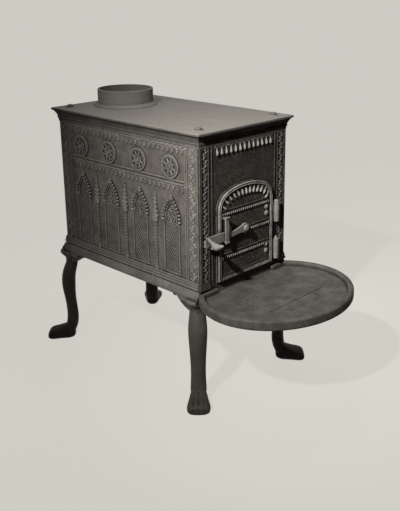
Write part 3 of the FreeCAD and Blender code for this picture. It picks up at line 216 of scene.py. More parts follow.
class Tree:
    """Geometry nodes for one repeated ornament, with its sizes as named inputs."""

    KINDS = {
        float: "NodeSocketFloat",
        int: "NodeSocketInt",
        bpy.types.Material: "NodeSocketMaterial",
        bpy.types.Object: "NodeSocketObject",
    }

    def __init__(self, name, **sizes):
        self.group = bpy.data.node_groups.new(name, "GeometryNodeTree")
        sockets = self.group.interface
        sockets.new_socket("Geometry", in_out="OUTPUT", socket_type="NodeSocketGeometry")
        self.values = {}
        for label, value in sizes.items():
            kind = self.KINDS[type(value)]
            socket = sockets.new_socket(label, in_out="INPUT", socket_type=kind)
            self.values[socket.identifier] = value
        start = self.group.nodes.new("NodeGroupInput")
        self.size = {label: start.outputs[label] for label in sizes}

    def feed(self, socket, value):
        """Link a socket, or set its plain value."""
        if isinstance(value, bpy.types.NodeSocket):
            self.group.links.new(value, socket)
        else:
            socket.default_value = value

    def add(self, kind, settings=None, out=0, **inputs):
        """One node, with its inputs by name; gives one of its outputs."""
        node = self.group.nodes.new(kind)
        for name, value in (settings or {}).items():
            setattr(node, name, value)
        for label, value in inputs.items():
            self.feed(node.inputs[label.replace("_", " ")], value)
        return node.outputs[out]

    def math(self, operation, *values):
        """One sum on numbers."""
        node = self.group.nodes.new("ShaderNodeMath")
        node.operation = operation
        for socket, value in zip(node.inputs, values):
            self.feed(socket, value)
        return node.outputs[0]

    def times(self, a, b):
        """Product of two numbers."""
        return self.math("MULTIPLY", a, b)

    def over(self, a, b):
        """One number divided by another."""
        return self.math("DIVIDE", a, b)

    def plus(self, a, b):
        """Sum of two numbers."""
        return self.math("ADD", a, b)

    def minus(self, a, b):
        """One number less another."""
        return self.math("SUBTRACT", a, b)

    def flip(self, a):
        """A number with its sign turned."""
        return self.times(a, -1.0)

    def vector(self, x=0.0, y=0.0, z=0.0):
        """A vector from its parts."""
        return self.add("ShaderNodeCombineXYZ", X=x, Y=y, Z=z)

    def place(self):
        """The parts of each point's position."""
        node = self.group.nodes.new("ShaderNodeSeparateXYZ")
        self.group.links.new(self.add("GeometryNodeInputPosition"), node.inputs[0])
        return node.outputs

    def facing(self, direction):
        """Turn about the wall's normal that points a shape's upper end along a direction."""
        settings = {"axis": "Y", "pivot_axis": "Z"}
        return self.add("FunctionNodeAlignRotationToVector", settings, Vector=direction)

    def join(self, *shapes):
        """Several shapes as one."""
        node = self.group.nodes.new("GeometryNodeJoinGeometry")
        for shape in shapes:
            self.group.links.new(shape, node.inputs[0])
        return node.outputs[0]

    def shift(self, shape, x=0.0, y=0.0, z=0.0, spin=0.0):
        """A shape moved, after a spin about the wall's normal."""
        spot = self.vector(x, y, z)
        return self.add("GeometryNodeTransform", Geometry=shape, Translation=spot, Rotation=(0.0, 0.0, spin))

    def tube(self, curve, radius, sides=6):
        """Round bar along a curve."""
        ring = self.add("GeometryNodeCurvePrimitiveCircle", Resolution=sides, Radius=radius)
        return self.add("GeometryNodeCurveToMesh", Curve=curve, Profile_Curve=ring, Fill_Caps=True)

    def line(self, start, end):
        """Straight line between two points."""
        return self.add("GeometryNodeCurvePrimitiveLine", Start=start, End=end)

    def rib(self, start, bend, end, radius):
        """Curved bar from start to end."""
        curve = self.add("GeometryNodeCurveQuadraticBezier", Resolution=RIB_STEPS,
                         Start=start, Middle=bend, End=end)
        return self.tube(curve, radius)

    def ring(self, radius, tube, sides=20):
        """Round ring lying on the wall."""
        curve = self.add("GeometryNodeCurvePrimitiveCircle", Resolution=sides, Radius=radius)
        return self.tube(curve, tube)

    def circle(self, count, radius):
        """Points spread evenly round a circle."""
        return self.add("GeometryNodeMeshCircle", Vertices=count, Radius=radius)

    def ball(self, wide, tall, out, taper=0.0, sides=8, rings=6):
        """Raised drop or knob with a flat back: taper narrows it towards the top."""
        shape = self.add("GeometryNodeMeshUVSphere", Segments=sides, Rings=rings, Radius=1.0)
        x, y, z = self.place()
        z = self.math("MAXIMUM", z, -SUNK_SHARE)
        slim = self.math("MULTIPLY_ADD", y, -taper, 1.0)
        spot = self.vector(
            self.times(self.times(x, slim), self.times(wide, 0.5)),
            self.times(y, self.times(tall, 0.5)),
            self.times(self.times(z, slim), out),
        )
        return self.add("GeometryNodeSetPosition", Geometry=shape, Position=spot)

    def spots(self, curve, count):
        """Points spread evenly along a curve."""
        return self.add("GeometryNodeResampleCurve", Curve=curve, Count=count)

    def scatter(self, points, shape, **more):
        """A copy of a shape on every point."""
        return self.add("GeometryNodeInstanceOnPoints", Points=points, Instance=shape, **more)

    def row(self, shape, count, first, step, **more):
        """Copies of a shape in a straight row."""
        points = self.add("GeometryNodeMeshLine", Count=count, Start_Location=first, Offset=step)
        return self.scatter(points, shape, **more)

    def bays(self, shape, count, pitch):
        """Copies of a shape in the middle of each bay."""
        first = self.times(self.times(self.plus(count, -1.0), pitch), -0.5)
        return self.row(shape, count, self.vector(first), self.vector(pitch))

    def mesh(self, shape):
        """The finished ornament as a plain mesh."""
        real = self.add("GeometryNodeRealizeInstances", Geometry=shape)
        real = self.add("GeometryNodeSetShadeSmooth", Geometry=real)
        real = self.add("GeometryNodeSetMaterial", Geometry=real, Material=self.size["Iron"])
        end = self.group.nodes.new("NodeGroupOutput")
        self.group.links.new(real, end.inputs[0])
        holder = bpy.data.objects.new(self.group.name, bpy.data.meshes.new(self.group.name))
        bpy.context.scene.collection.objects.link(holder)
        maker = holder.modifiers.new("maker", "NODES")
        maker.node_group = self.group
        for identifier, value in self.values.items():
            maker[identifier] = value
        seen = holder.evaluated_get(bpy.context.evaluated_depsgraph_get())
        made = bpy.data.meshes.new_from_object(seen)
        holder.modifiers.remove(maker)
        bpy.data.objects.remove(holder)
        return made


def relief(axis, face, ground, crest, share):
    """Where an iron is paler along an axis (rubbed crests, the legs' upper ends, and the top plate's dust
    with a painted sheen): an axis, the ground's and the crest's place on it, and how far.
    """
    return axis, face + ground, face + crest, share


def iron(name, dark, light, worn, rough=0.6, grain=420.0, pitting=0.35, wear=0.6, gloss=0.06, raised=None):
    """Old cast iron: blotched colour, painted shade in its hollows, rubbed edges and a fine cast grain.

    Raised is a relief whose crests are paler: rubbed on the walls and door, paler towards the legs' tops, and
    on the top plate dust with a painted sheen.
    """
    material = bpy.data.materials.new(name)
    material.use_nodes = True
    nodes = material.node_tree.nodes
    links = material.node_tree.links
    shader = nodes["Principled BSDF"]
    place = nodes.new("ShaderNodeTexCoord").outputs["Object"]
    dark, light, worn = ((*colour, 1.0) for colour in (dark, light, worn))

    def put(socket, value):
        if isinstance(value, bpy.types.NodeSocket):
            links.new(value, socket)
        else:
            socket.default_value = value

    def noise(scale, detail, roughness):
        node = nodes.new("ShaderNodeTexNoise")
        node.inputs["Scale"].default_value = scale
        node.inputs["Detail"].default_value = detail
        node.inputs["Roughness"].default_value = roughness
        links.new(place, node.inputs["Vector"])
        return node.outputs["Fac"]

    def span(value, low, high, start, end):
        node = nodes.new("ShaderNodeMapRange")
        node.inputs["From Min"].default_value = low
        node.inputs["From Max"].default_value = high
        node.inputs["To Min"].default_value = start
        node.inputs["To Max"].default_value = end
        links.new(value, node.inputs["Value"])
        return node.outputs["Result"]

    def sum_of(operation, *values):
        node = nodes.new("ShaderNodeMath")
        node.operation = operation
        for socket, value in zip(node.inputs, values):
            put(socket, value)
        return node.outputs[0]

    def mix(share, a, b, way="MIX"):
        node = nodes.new("ShaderNodeMix")
        node.data_type = "RGBA"
        node.blend_type = way
        for label, value in (("Factor", share), ("A", a), ("B", b)):
            put(node.inputs[label], value)
        return node.outputs["Result"]

    def nearness(distance, inside):
        node = nodes.new("ShaderNodeAmbientOcclusion")
        node.samples = NEARNESS_SAMPLES
        node.inside = inside
        node.inputs["Distance"].default_value = distance
        return node.outputs["AO"]

    blotches = noise(**BLOTCHES)
    specks = noise(grain, **SPECKS)
    streaks = noise(**STREAKS)
    colour = mix(span(blotches, *LIGHT_BLOTCHES), dark, light)
    colour = mix(span(streaks, *DARK_STREAKS), colour, dark)
    if raised:
        axis, ground, crest, share = raised
        along = nodes.new("ShaderNodeVectorMath")
        along.operation = "DOT_PRODUCT"
        links.new(place, along.inputs[0])
        along.inputs[1].default_value = axis
        reach = sum_of("ABSOLUTE", along.outputs["Value"])
        colour = mix(span(reach, ground, crest, 0.0, share), colour, worn)
    colour = mix(span(specks, *PALE_SPECKS), colour, worn)
    colour = mix(span(specks, *DARK_SPECKS), colour, dark)
    edges = span(nearness(EDGE_REACH, True), *EDGE_STRETCH, 0.0, wear)
    colour = mix(sum_of("MULTIPLY", edges, span(streaks, *RUBBED_STREAKS)), colour, worn)
    # Painted shade: colour darkened where other surfaces are near, in hollows, creases and recesses
    colour = mix(1.0, colour, span(nearness(PAINTED_SHADE_REACH, False), *PAINTED_HOLLOW_SHADE), "MULTIPLY")
    links.new(colour, shader.inputs["Base Color"])
    sheen = span(blotches, *SHEEN_STRETCH, rough + DULLER, rough - SLEEKER)
    links.new(sheen, shader.inputs["Roughness"])
    shader.inputs["Specular IOR Level"].default_value = gloss
    pits = nodes.new("ShaderNodeTexVoronoi")
    pits.inputs["Scale"].default_value = grain * PIT_SCALE_SHARE
    links.new(place, pits.inputs["Vector"])
    bump = nodes.new("ShaderNodeBump")
    bump.inputs["Strength"].default_value = BUMP_STRENGTH
    bump.inputs["Distance"].default_value = BUMP_DEPTH
    cast_skin = sum_of("MULTIPLY_ADD", span(pits.outputs["Distance"], *PIT_DEPTHS), pitting, specks)
    links.new(cast_skin, bump.inputs["Height"])
    links.new(bump.outputs["Normal"], shader.inputs["Normal"])
    return material


# Each iron has its dark, its light and its rubbed colour. The top plate's rubbed colour also paints its face
# and the collar paler than the cornice below: dust, and a painted sheen of the light from above.
TOP = iron(
    "dusty_top_iron", (0.1, 0.093, 0.082), (0.16, 0.15, 0.136), (0.315, 0.3, 0.275),
    rough=0.64, grain=330.0, pitting=0.3, wear=0.4, gloss=0.03,
    raised=relief((0.0, 0.0, 1.0), TOP_FACE, ground=-0.004, crest=-0.0005, share=0.75),
)
SHELL = iron("stove_blacked_iron", (0.14, 0.131, 0.118), (0.235, 0.222, 0.203), (0.38, 0.364, 0.335))
SIDES = iron(
    "panelled_side_iron", (0.1, 0.092, 0.08), (0.194, 0.18, 0.161), (0.44, 0.423, 0.39), wear=0.8,
    raised=relief((1.0, 0.0, 0.0), HALF_WIDTH, ground=GROUND_SKIN, crest=0.0024, share=0.27),
)
CARVED = iron("side_ornament_iron", (0.11, 0.102, 0.09), (0.21, 0.195, 0.176), (0.46, 0.443, 0.41), wear=0.85)
RUBBED = iron("rubbed_ornament_iron", (0.26, 0.247, 0.224), (0.4, 0.38, 0.35), (0.5, 0.482, 0.446), wear=0.8)
# Painted shade: the front wall's iron is a much darker copy of the walls' iron, standing in for the shade on
# the front, which faces away from the key lamp.
FRONT = iron(
    "sooted_front_iron", (0.034, 0.0305, 0.026), (0.07, 0.064, 0.056), (0.42, 0.4, 0.367),
    rough=0.58, grain=300.0, pitting=0.8, gloss=0.05,
    raised=relief((0.0, 1.0, 0.0), -FRONT_Y, ground=GROUND_SKIN, crest=0.0026, share=0.05),
)
HEARTH = iron(
    "ash_dulled_iron", (0.074, 0.068, 0.06), (0.136, 0.127, 0.113), (0.3, 0.286, 0.26),
    rough=0.62, grain=360.0, pitting=0.8,
)
LEGS = iron(
    "smooth_leg_iron", (0.066, 0.059, 0.052), (0.1, 0.09, 0.08), (0.22, 0.207, 0.187),
    rough=0.52, grain=300.0, pitting=0.15, wear=0.4, gloss=0.1,
    raised=relief((0.0, 0.0, 1.0), LEG_TOP, ground=-0.020, crest=-0.008, share=0.7),
)
# Painted shade: the door's iron is darkened like the front's, for the same shade on the front.
DOOR = iron(
    "rough_door_iron", (0.036, 0.032, 0.027), (0.074, 0.067, 0.058), (0.46, 0.44, 0.405),
    rough=0.58, grain=280.0, pitting=0.9, wear=0.75, gloss=0.05,
    raised=relief((0.0, 1.0, 0.0), -FRONT_Y, ground=DOOR_FACE + GROUND_SKIN, crest=DOOR_RIM_FRONT, share=0.1),
)
WORN = iron(
    "handled_iron", (0.19, 0.18, 0.164), (0.285, 0.27, 0.246), (0.44, 0.42, 0.388),
    rough=0.5, grain=300.0, pitting=0.3, wear=0.5, gloss=0.2,
)
FASTENERS = iron("bolt_iron", (0.166, 0.154, 0.138), (0.26, 0.243, 0.22), (0.38, 0.361, 0.327), rough=0.56)

FINISHES = {
    "shell": SHELL,
    "hearth": HEARTH,
    "legs": LEGS,
    "door": DOOR,
    "worn_iron": WORN,
    "fasteners": FASTENERS,
}
NODE_FINISHES = {
    "top_plate": TOP,
    "flue_collar": TOP,
    "front_plate": FRONT,
    "left_side_plate": SIDES,
    "right_side_plate": SIDES,
}


def wall(origin, across, up):
    """Frame of a flat wall: across and up along it, and outwards."""
    across = Vector(across)
    up = Vector(up)
    out = across.cross(up)
    turn = Matrix((across, up, out)).transposed().to_4x4()
    return Matrix.Translation(origin) @ turn


LEFT_WALL = wall((-HALF_WIDTH, MIDDLE_Y, 0), (0, -1, 0), (0, 0, 1))
RIGHT_WALL = wall((HALF_WIDTH, MIDDLE_Y, 0), (0, 1, 0), (0, 0, 1))
FRONT_WALL = wall((0, FRONT_Y, 0), (1, 0, 0), (0, 0, 1))
BACK_WALL = wall((0, FRONT_Y + LENGTH, 0), (-1, 0, 0), (0, 0, 1))


def lift(height, out=0.0, across=0.0):
    """Place on a wall."""
    return Matrix.Translation((across, height, out))


def gather(name, meshes, body="stove"):
    """One named piece from meshes and the places they take."""
    parts = []
    for mesh, place in meshes:
        copy = mesh.copy()
        copy.transform(place)
        part = bpy.data.objects.new(name, copy)
        bpy.context.scene.collection.objects.link(part)
        parts.append(part)
    piece = parts[0]
    if len(parts) > 1:
        with bpy.context.temp_override(active_object=piece, selected_editable_objects=parts):
            bpy.ops.object.join()
    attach(piece, body)


def hanging_drop(tree, low):
    """Drop that hangs from a height and widens downwards."""
    size = tree.size
    drop = tree.ball(size["Wide"], size["Tall"], size["Out"], DROP_TAPER, DROP_SIDES, DROP_RINGS)
    return tree.shift(drop, y=tree.minus(low, tree.times(size["Tall"], DROP_HANG)))


def fringe(name, finish, length, drops, wide, tall, out, rise, rib, reach):
    """Row of hanging drops with pointed arches between them."""
    tree = Tree(name, Length=length, Drops=drops, Wide=wide, Tall=tall, Out=out, Rise=rise, Rib=rib,
                Reach=reach, Iron=finish)
    size = tree.size
    pitch = tree.over(size["Length"], size["Drops"])
    low = tree.flip(size["Rise"])
    parts = [hanging_drop(tree, low)]
    for side in (-1.0, 1.0):
        far = tree.times(tree.times(pitch, size["Reach"]), side)
        bend = tree.vector(tree.times(far, RIB_BEND), tree.times(low, RIB_BEND))
        parts.append(tree.rib(tree.vector(0.0, low), bend, tree.vector(far), size["Rib"]))
    return tree.mesh(tree.bays(tree.join(*parts), size["Drops"], pitch))


def bead_row(name, finish, length, beads, radius, upright=False):
    """Row of small round beads."""
    tree = Tree(name, Length=length, Beads=beads, Radius=radius, Iron=finish)
    size = tree.size
    pitch = tree.over(size["Length"], size["Beads"])
    wide = tree.times(size["Radius"], 2.0)
    row = tree.bays(tree.ball(wide, wide, size["Radius"]), size["Beads"], pitch)
    if upright:
        row = tree.shift(row, spin=QUARTER_TURN)
    return tree.mesh(row)


def rosettes(finish):
    """Wheel of eight lobes inside each standing ring of the side walls."""
    tree = Tree(
        "rosettes", Lobes=ROSETTE_LOBES, Orbit=0.0168, Lobe=0.0062, Tube=0.0016, Stretch=1.5, Out=0.0022,
        Eye=0.0088, EyeTube=1.1, Knob=0.0046, KnobOrbit=1.42, Hub=0.48, HubOut=0.6,
        Bays=BAYS, Pitch=BAY_PITCH, Iron=finish,
    )
    size = tree.size
    lobe = tree.ring(size["Lobe"], size["Tube"])
    lobes = tree.scatter(tree.circle(size["Lobes"], size["Orbit"]), lobe)
    eye = tree.ring(size["Eye"], tree.times(size["Tube"], size["EyeTube"]), WIDE_RING_SIDES)
    deeper = tree.vector(1.0, 1.0, size["Stretch"])
    tracery = tree.add("GeometryNodeTransform", Geometry=tree.join(lobes, eye), Scale=deeper)
    knob = tree.ball(size["Knob"], size["Knob"], tree.times(size["Knob"], 0.5))
    rim = tree.circle(size["Lobes"], tree.times(size["Orbit"], size["KnobOrbit"]))
    knobs = tree.shift(tree.scatter(rim, knob), spin=math.pi / ROSETTE_LOBES)
    hub = tree.ring(tree.times(size["Eye"], size["Hub"]), size["Tube"], SMALL_RING_SIDES)
    hub = tree.shift(hub, z=tree.times(size["Out"], size["HubOut"]))
    wheel = tree.shift(tree.join(tracery, knobs, hub), z=size["Out"])
    return tree.mesh(tree.bays(wheel, size["Bays"], size["Pitch"]))


def crocket(tree, wide, tall, out):
    """Small curled leaf: two knobs, one behind the other."""
    back = tree.ball(wide, tall, out, CURL_TAPER)
    tip = tree.ball(tree.times(wide, CURL_TIP_WIDE), tree.times(tall, CURL_TIP_TALL),
                    tree.times(out, CURL_TIP_OUT))
    return tree.join(back, tree.shift(tip, y=tree.times(tall, CURL_TIP_UP)))


def window_arches(finish):
    """Crockets, finial and tracery at the head of each pointed window."""
    tree = Tree(
        "window_arches", Half=WINDOW_HALF, Rise=WINDOW_RISE, Tube=0.0013, RibInset=0.0075, RibLift=0.0008,
        RibSweep=0.95, Crockets=8, Leaf=0.0094, LeafWide=0.95, LeafLift=0.0015, LeafSweep=0.93, Out=0.0036,
        FinialTall=1.35, FinialOut=1.15, FinialUp=0.003,
        Foils=3, Foil=0.0058, FoilTube=1.15, FoilOrbit=1.25, FoilUp=0.023, FoilLift=0.0012,
        Dot=0.005, DotOut=0.0028,
        Light=0.0105, LightFoot=0.008, LightBend=0.007, LightTop=0.0125, LightLift=0.001,
        Berry=0.006, BerryOut=0.0026, BerryUp=0.001, Bays=BAYS, Pitch=BAY_PITCH, Iron=finish,
    )
    size = tree.size
    square = tree.minus(tree.times(size["Rise"], size["Rise"]), tree.times(size["Half"], size["Half"]))
    centre = tree.over(square, tree.times(size["Half"], 2.0))
    radius = tree.plus(size["Half"], centre)
    sweep = tree.math("ARCTAN2", size["Rise"], centre)

    def half_arch(side, arc_radius, share):
        begin = 0.0 if side > 0 else math.pi
        swept = tree.times(tree.times(sweep, share), side)
        return tree.add("GeometryNodeCurveArc", {"mode": "RADIUS"}, Resolution=WINDOW_ARC_STEPS,
                        Radius=arc_radius, Start_Angle=begin, Sweep_Angle=swept)

    leaf = crocket(tree, tree.times(size["Leaf"], size["LeafWide"]), size["Leaf"], size["Out"])
    parts = []
    for side in (1.0, -1.0):
        along = tree.spots(half_arch(side, radius, size["LeafSweep"]), size["Crockets"])
        outwards = tree.facing(tree.add("GeometryNodeInputPosition"))
        leaves = tree.scatter(along, leaf, Rotation=outwards)
        inner = half_arch(side, tree.minus(radius, size["RibInset"]), size["RibSweep"])
        rib = tree.shift(tree.tube(inner, size["Tube"]), z=size["RibLift"])
        parts.append(tree.shift(tree.join(leaves, rib), x=tree.times(centre, -side), z=size["LeafLift"]))
    finial = crocket(tree, size["Leaf"], tree.times(size["Leaf"], size["FinialTall"]),
                     tree.times(size["Out"], size["FinialOut"]))
    parts.append(tree.shift(finial, y=tree.plus(size["Rise"], size["FinialUp"])))
    orbit = tree.circle(size["Foils"], tree.times(size["Foil"], size["FoilOrbit"]))
    foil = tree.ring(size["Foil"], tree.times(size["Tube"], size["FoilTube"]), SMALL_RING_SIDES)
    dot = tree.ball(size["Dot"], size["Dot"], size["DotOut"])
    trefoil = tree.join(tree.scatter(orbit, foil), tree.scatter(orbit, dot))
    parts.append(tree.shift(trefoil, y=size["FoilUp"], z=size["FoilLift"], spin=QUARTER_TURN))
    berry = tree.ball(size["Berry"], size["Berry"], size["BerryOut"])
    top = tree.vector(0.0, size["LightTop"])
    light = []
    for way in (-1.0, 1.0):
        foot = tree.times(size["Light"], way)
        start = tree.vector(foot, tree.flip(size["LightFoot"]))
        light.append(tree.rib(start, tree.vector(foot, size["LightBend"]), top, size["Tube"]))
    light.append(tree.shift(berry, y=size["BerryUp"]))
    for side in (-1.0, 1.0):
        parts.append(tree.shift(tree.join(*light), x=tree.times(size["Light"], side), z=size["LightLift"]))
    return tree.mesh(tree.bays(tree.join(*parts), size["Bays"], size["Pitch"]))


def window_panes(finish):
    """Knobbed lattice of each window, with the capitals and feet of its jambs."""
    tree = Tree(
        "window_panes", Half=PANE_HALF, Tall=WINDOW_STRAIGHT - PANE_SHORT, Columns=6, Rows=12,
        Bar=0.0008, Knob=0.0046, Rise=0.0027, Jamb=0.0264, CurlWide=0.0092, CurlTall=0.0062, CurlOut=0.0042,
        HeadUpper=0.002, HeadLower=-0.0045, FootUpper=0.0035, FootLower=-0.0035,
        Bays=BAYS, Pitch=BAY_PITCH, Iron=finish,
    )
    size = tree.size
    both = tree.times(size["Half"], 2.0)
    wide = tree.over(both, size["Columns"])
    tall = tree.over(size["Tall"], size["Rows"])
    right = tree.times(wide, 0.5)
    top = tree.times(tall, 0.5)
    knob = tree.ball(size["Knob"], size["Knob"], size["Rise"], 0.0, BAR_KNOB_SIDES, BAR_KNOB_RINGS)
    cell = []
    for lean in (-1.0, 1.0):
        bar = tree.line(tree.vector(tree.times(right, -lean), tree.flip(top)),
                        tree.vector(tree.times(right, lean), top))
        cell.append(tree.tube(bar, size["Bar"], BAR_SIDES))
        cell.append(tree.shift(knob, x=tree.times(right, 0.5 * lean), y=tree.times(top, 0.5 * lean)))
    grid = tree.add("GeometryNodeMeshGrid", Vertices_X=size["Columns"], Vertices_Y=size["Rows"],
                    Size_X=tree.minus(both, wide), Size_Y=tree.minus(size["Tall"], tall))
    parts = [tree.scatter(grid, tree.join(*cell))]
    head = tree.times(size["Tall"], 0.5)
    foot = tree.flip(head)
    curl = crocket(tree, size["CurlWide"], size["CurlTall"], size["CurlOut"])
    for side in (-1.0, 1.0):
        x = tree.times(size["Jamb"], side)
        for end, step in ((head, "HeadUpper"), (head, "HeadLower"), (foot, "FootUpper"), (foot, "FootLower")):
            parts.append(tree.shift(curl, x=x, y=tree.plus(end, size[step])))
    return tree.mesh(tree.bays(tree.join(*parts), size["Bays"], size["Pitch"]))


def pinnacles(finish):
    """Dotted shafts and crocketed spires between the windows."""
    tree = Tree(
        "pinnacles", Shaft=0.12, ShaftOut=SHAFT_OUT, Dots=14, FirstDot=0.0125, Dot=0.007, DotTall=1.1,
        DotOut=0.42, Spire=SPIRE_HEIGHT, Half=SPIRE_HALF, Tiers=6, Leaf=0.0088, LeafTall=0.9, LeafOut=0.0046,
        LeafShrink=0.085, FirstLeaf=0.004, LeafAside=1.05, LeafInwards=0.14,
        Bays=BAYS - 1, Pitch=BAY_PITCH, Iron=finish,
    )
    size = tree.size
    dot = tree.ball(size["Dot"], tree.times(size["Dot"], size["DotTall"]),
                    tree.times(size["Dot"], size["DotOut"]))
    step = tree.over(size["Shaft"], size["Dots"])
    first = tree.vector(0.0, tree.flip(size["FirstDot"]))
    dots = tree.row(dot, size["Dots"], first, tree.vector(0.0, tree.flip(step)))
    parts = [tree.shift(dots, z=size["ShaftOut"])]
    tier = tree.over(size["Spire"], size["Tiers"])
    small = tree.minus(1.0, tree.times(tree.add("GeometryNodeInputIndex"), size["LeafShrink"]))
    leaf = crocket(tree, size["Leaf"], tree.times(size["Leaf"], size["LeafTall"]), size["LeafOut"])
    for side in (-1.0, 1.0):
        turned = tree.shift(leaf, spin=-SPIRE_LEAF_TURN * side)
        aside = tree.times(tree.times(size["Half"], size["LeafAside"]), side)
        inwards = tree.times(tree.times(size["Half"], size["LeafInwards"]), -side)
        parts.append(tree.row(turned, size["Tiers"], tree.vector(aside, size["FirstLeaf"]),
                              tree.vector(inwards, tier), Scale=small))
    tip = tree.join(tree.ball(*TIP_KNOB), tree.shift(tree.ball(*TIP_RING), y=-TIP_RING_DROP))
    parts.append(tree.shift(tip, y=tree.plus(size["Spire"], TIP_KNOB_UP)))
    for ring, drops in ((CAP_RING, CAP_RING_DROPS), (FOOT_RING, FOOT_RING_DROPS)):
        band = tree.ball(*ring)
        parts += [tree.shift(band, y=-drop) for drop in drops]
    return tree.mesh(tree.bays(tree.join(*parts), size["Bays"], size["Pitch"]))


def vine(name, finish, length, wave, swing, leaf, leaves):
    """Upright running vine: a winding stem with leaves and berries on both sides."""
    tree = Tree(
        name, Length=length, Wave=wave, Swing=swing, Stem=0.0009, Leaf=leaf, Leaves=leaves, Lean=0.95,
        Out=0.0016, BladeWide=0.42, BladeUp=0.5, LobeWide=0.3, LobeTall=0.55, LobeAside=0.22, LobeUp=0.26,
        Berry=0.3, BerryAside=0.62, BerryUp=-0.2, Iron=finish,
    )
    size = tree.size
    end = tree.times(size["Length"], 0.5)
    line = tree.line(tree.vector(0.0, tree.flip(end)), tree.vector(0.0, end))
    turn = tree.over(math.tau, size["Wave"])

    def leaf_share(label):
        return tree.times(size["Leaf"], size[label])

    def wind(points):
        aside = tree.times(tree.math("SINE", tree.times(tree.place()[1], turn)), size["Swing"])
        return tree.add("GeometryNodeSetPosition", Geometry=points, Offset=tree.vector(aside))

    stem = tree.tube(wind(tree.spots(line, STEM_STEPS)), size["Stem"])
    joints = wind(tree.spots(line, size["Leaves"]))
    odd = tree.math("MULTIPLY_ADD", tree.math("MODULO", tree.add("GeometryNodeInputIndex"), 2.0), 2.0, -1.0)
    blade = tree.ball(leaf_share("BladeWide"), size["Leaf"], size["Out"], BLADE_TAPER)
    lobe = tree.ball(leaf_share("LobeWide"), leaf_share("LobeTall"), size["Out"], LOBE_TAPER)
    whole = tree.join(
        tree.shift(blade, y=leaf_share("BladeUp")),
        tree.shift(lobe, x=leaf_share("LobeAside"), y=leaf_share("LobeUp"), spin=-LOBE_TURN),
    )
    blades = tree.scatter(joints, whole, Rotation=tree.vector(0.0, 0.0, tree.times(odd, size["Lean"])))
    berry = tree.ball(leaf_share("Berry"), leaf_share("Berry"), size["Out"])
    beside = tree.vector(tree.times(odd, leaf_share("BerryAside")), leaf_share("BerryUp"))
    berries = tree.scatter(tree.add("GeometryNodeSetPosition", Geometry=joints, Offset=beside), berry)
    return tree.mesh(tree.join(stem, blades, berries))


def band_teeth(finish, first, last):
    """Row of small rounded teeth on a band of the door."""
    tree = Tree("band_teeth", First=first, Last=last, Pitch=0.0072, Wide=0.0044, Tall=0.0078, Out=0.0019,
                Iron=finish)
    size = tree.size
    reach = tree.minus(size["Last"], size["First"])
    count = tree.math("FLOOR", tree.over(reach, size["Pitch"]))
    step = tree.over(reach, count)
    tooth = tree.ball(size["Wide"], size["Tall"], size["Out"])
    begin = tree.plus(size["First"], tree.times(step, 0.5))
    return tree.mesh(tree.row(tooth, count, tree.vector(begin), tree.vector(step)))


def arch_path(inset, low):
    """Line of the door's arch, set inwards: up one side, over the crown and down the other."""
    half = DOOR_HALF - inset
    corner = DOOR_CORNER - inset
    rise = DOOR_RISE - inset
    crown = ((half - corner) ** 2 + rise ** 2 - corner ** 2) / (2 * (rise - corner))
    turn = math.atan2(half - corner, crown - rise)
    points = [Vector((half, low, 0))]
    for step in range(CORNER_STEPS + 1):
        angle = (math.pi / 2 - turn) * step / CORNER_STEPS
        x = half - corner + corner * math.cos(angle)
        points.append(Vector((x, DOOR_SPRING + corner * math.sin(angle), 0)))
    for step in range(1, CROWN_STEPS + 1):
        angle = turn * (1 - step / CROWN_STEPS)
        y = DOOR_SPRING + rise - crown + crown * math.cos(angle)
        points.append(Vector((crown * math.sin(angle), y, 0)))
    return points + [Vector((-p.x, p.y, 0)) for p in reversed(points[:-1])]


def path_object(points):
    """A path as a curve that a tree can follow."""
    curve = bpy.data.curves.new("path", "CURVE")
    curve.dimensions = "3D"
    spline = curve.splines.new("POLY")
    spline.points.add(len(points) - 1)
    for spot, point in zip(spline.points, points):
        spot.co = (*point, 1.0)
    holder = bpy.data.objects.new("path", curve)
    bpy.context.scene.collection.objects.link(holder)
    return holder


def arch_fringe(finish):
    """Drops hanging round the inside of the door's arch."""
    path = path_object(arch_path(DOOR_RIM_WIDTH, DOOR_SPRING))
    tree = Tree(
        "arch_fringe", Path=path, Drops=13, Wide=0.0052, Tall=0.0185, Out=0.0044, Rise=0.0062, Rib=0.0014,
        RibBendAside=0.0012, RibBendUp=-0.0016, RibEndAside=0.0062, RibEndUp=0.0012,
        From=0.07, To=0.93, LeanAside=0.75, LeanUp=0.06, Iron=finish,
    )
    size = tree.size
    curve = tree.add("GeometryNodeObjectInfo", out="Geometry", Object=size["Path"])
    curve = tree.add("GeometryNodeTrimCurve", {"mode": "FACTOR"}, Curve=curve,
                     Start=size["From"], End=size["To"])
    low = tree.flip(size["Rise"])
    parts = [hanging_drop(tree, low)]
    for side in (-1.0, 1.0):
        bend = tree.vector(tree.times(size["RibBendAside"], side), size["RibBendUp"])
        end = tree.vector(tree.times(size["RibEndAside"], side), size["RibEndUp"])
        parts.append(tree.rib(tree.vector(0.0, low), bend, end, size["Rib"]))
    lean = tree.vector(tree.times(tree.place()[0], size["LeanAside"]), size["LeanUp"])
    drops = tree.scatter(tree.spots(curve, size["Drops"]), tree.join(*parts), Rotation=tree.facing(lean))
    made = tree.mesh(drops)
    bpy.data.objects.remove(path)
    return made


def rim_ridge(finish, inset):
    """Fine round ridge along the door's rim."""
    points = arch_path(inset, DOOR_BOTTOM + inset)
    path = path_object(points + points[:1])
    tree = Tree("rim_ridge", Path=path, Radius=RIDGE_R, Iron=finish)
    curve = tree.add("GeometryNodeObjectInfo", out="Geometry", Object=tree.size["Path"])
    made = tree.mesh(tree.tube(curve, tree.size["Radius"], RIDGE_SIDES))
    bpy.data.objects.remove(path)
    return made


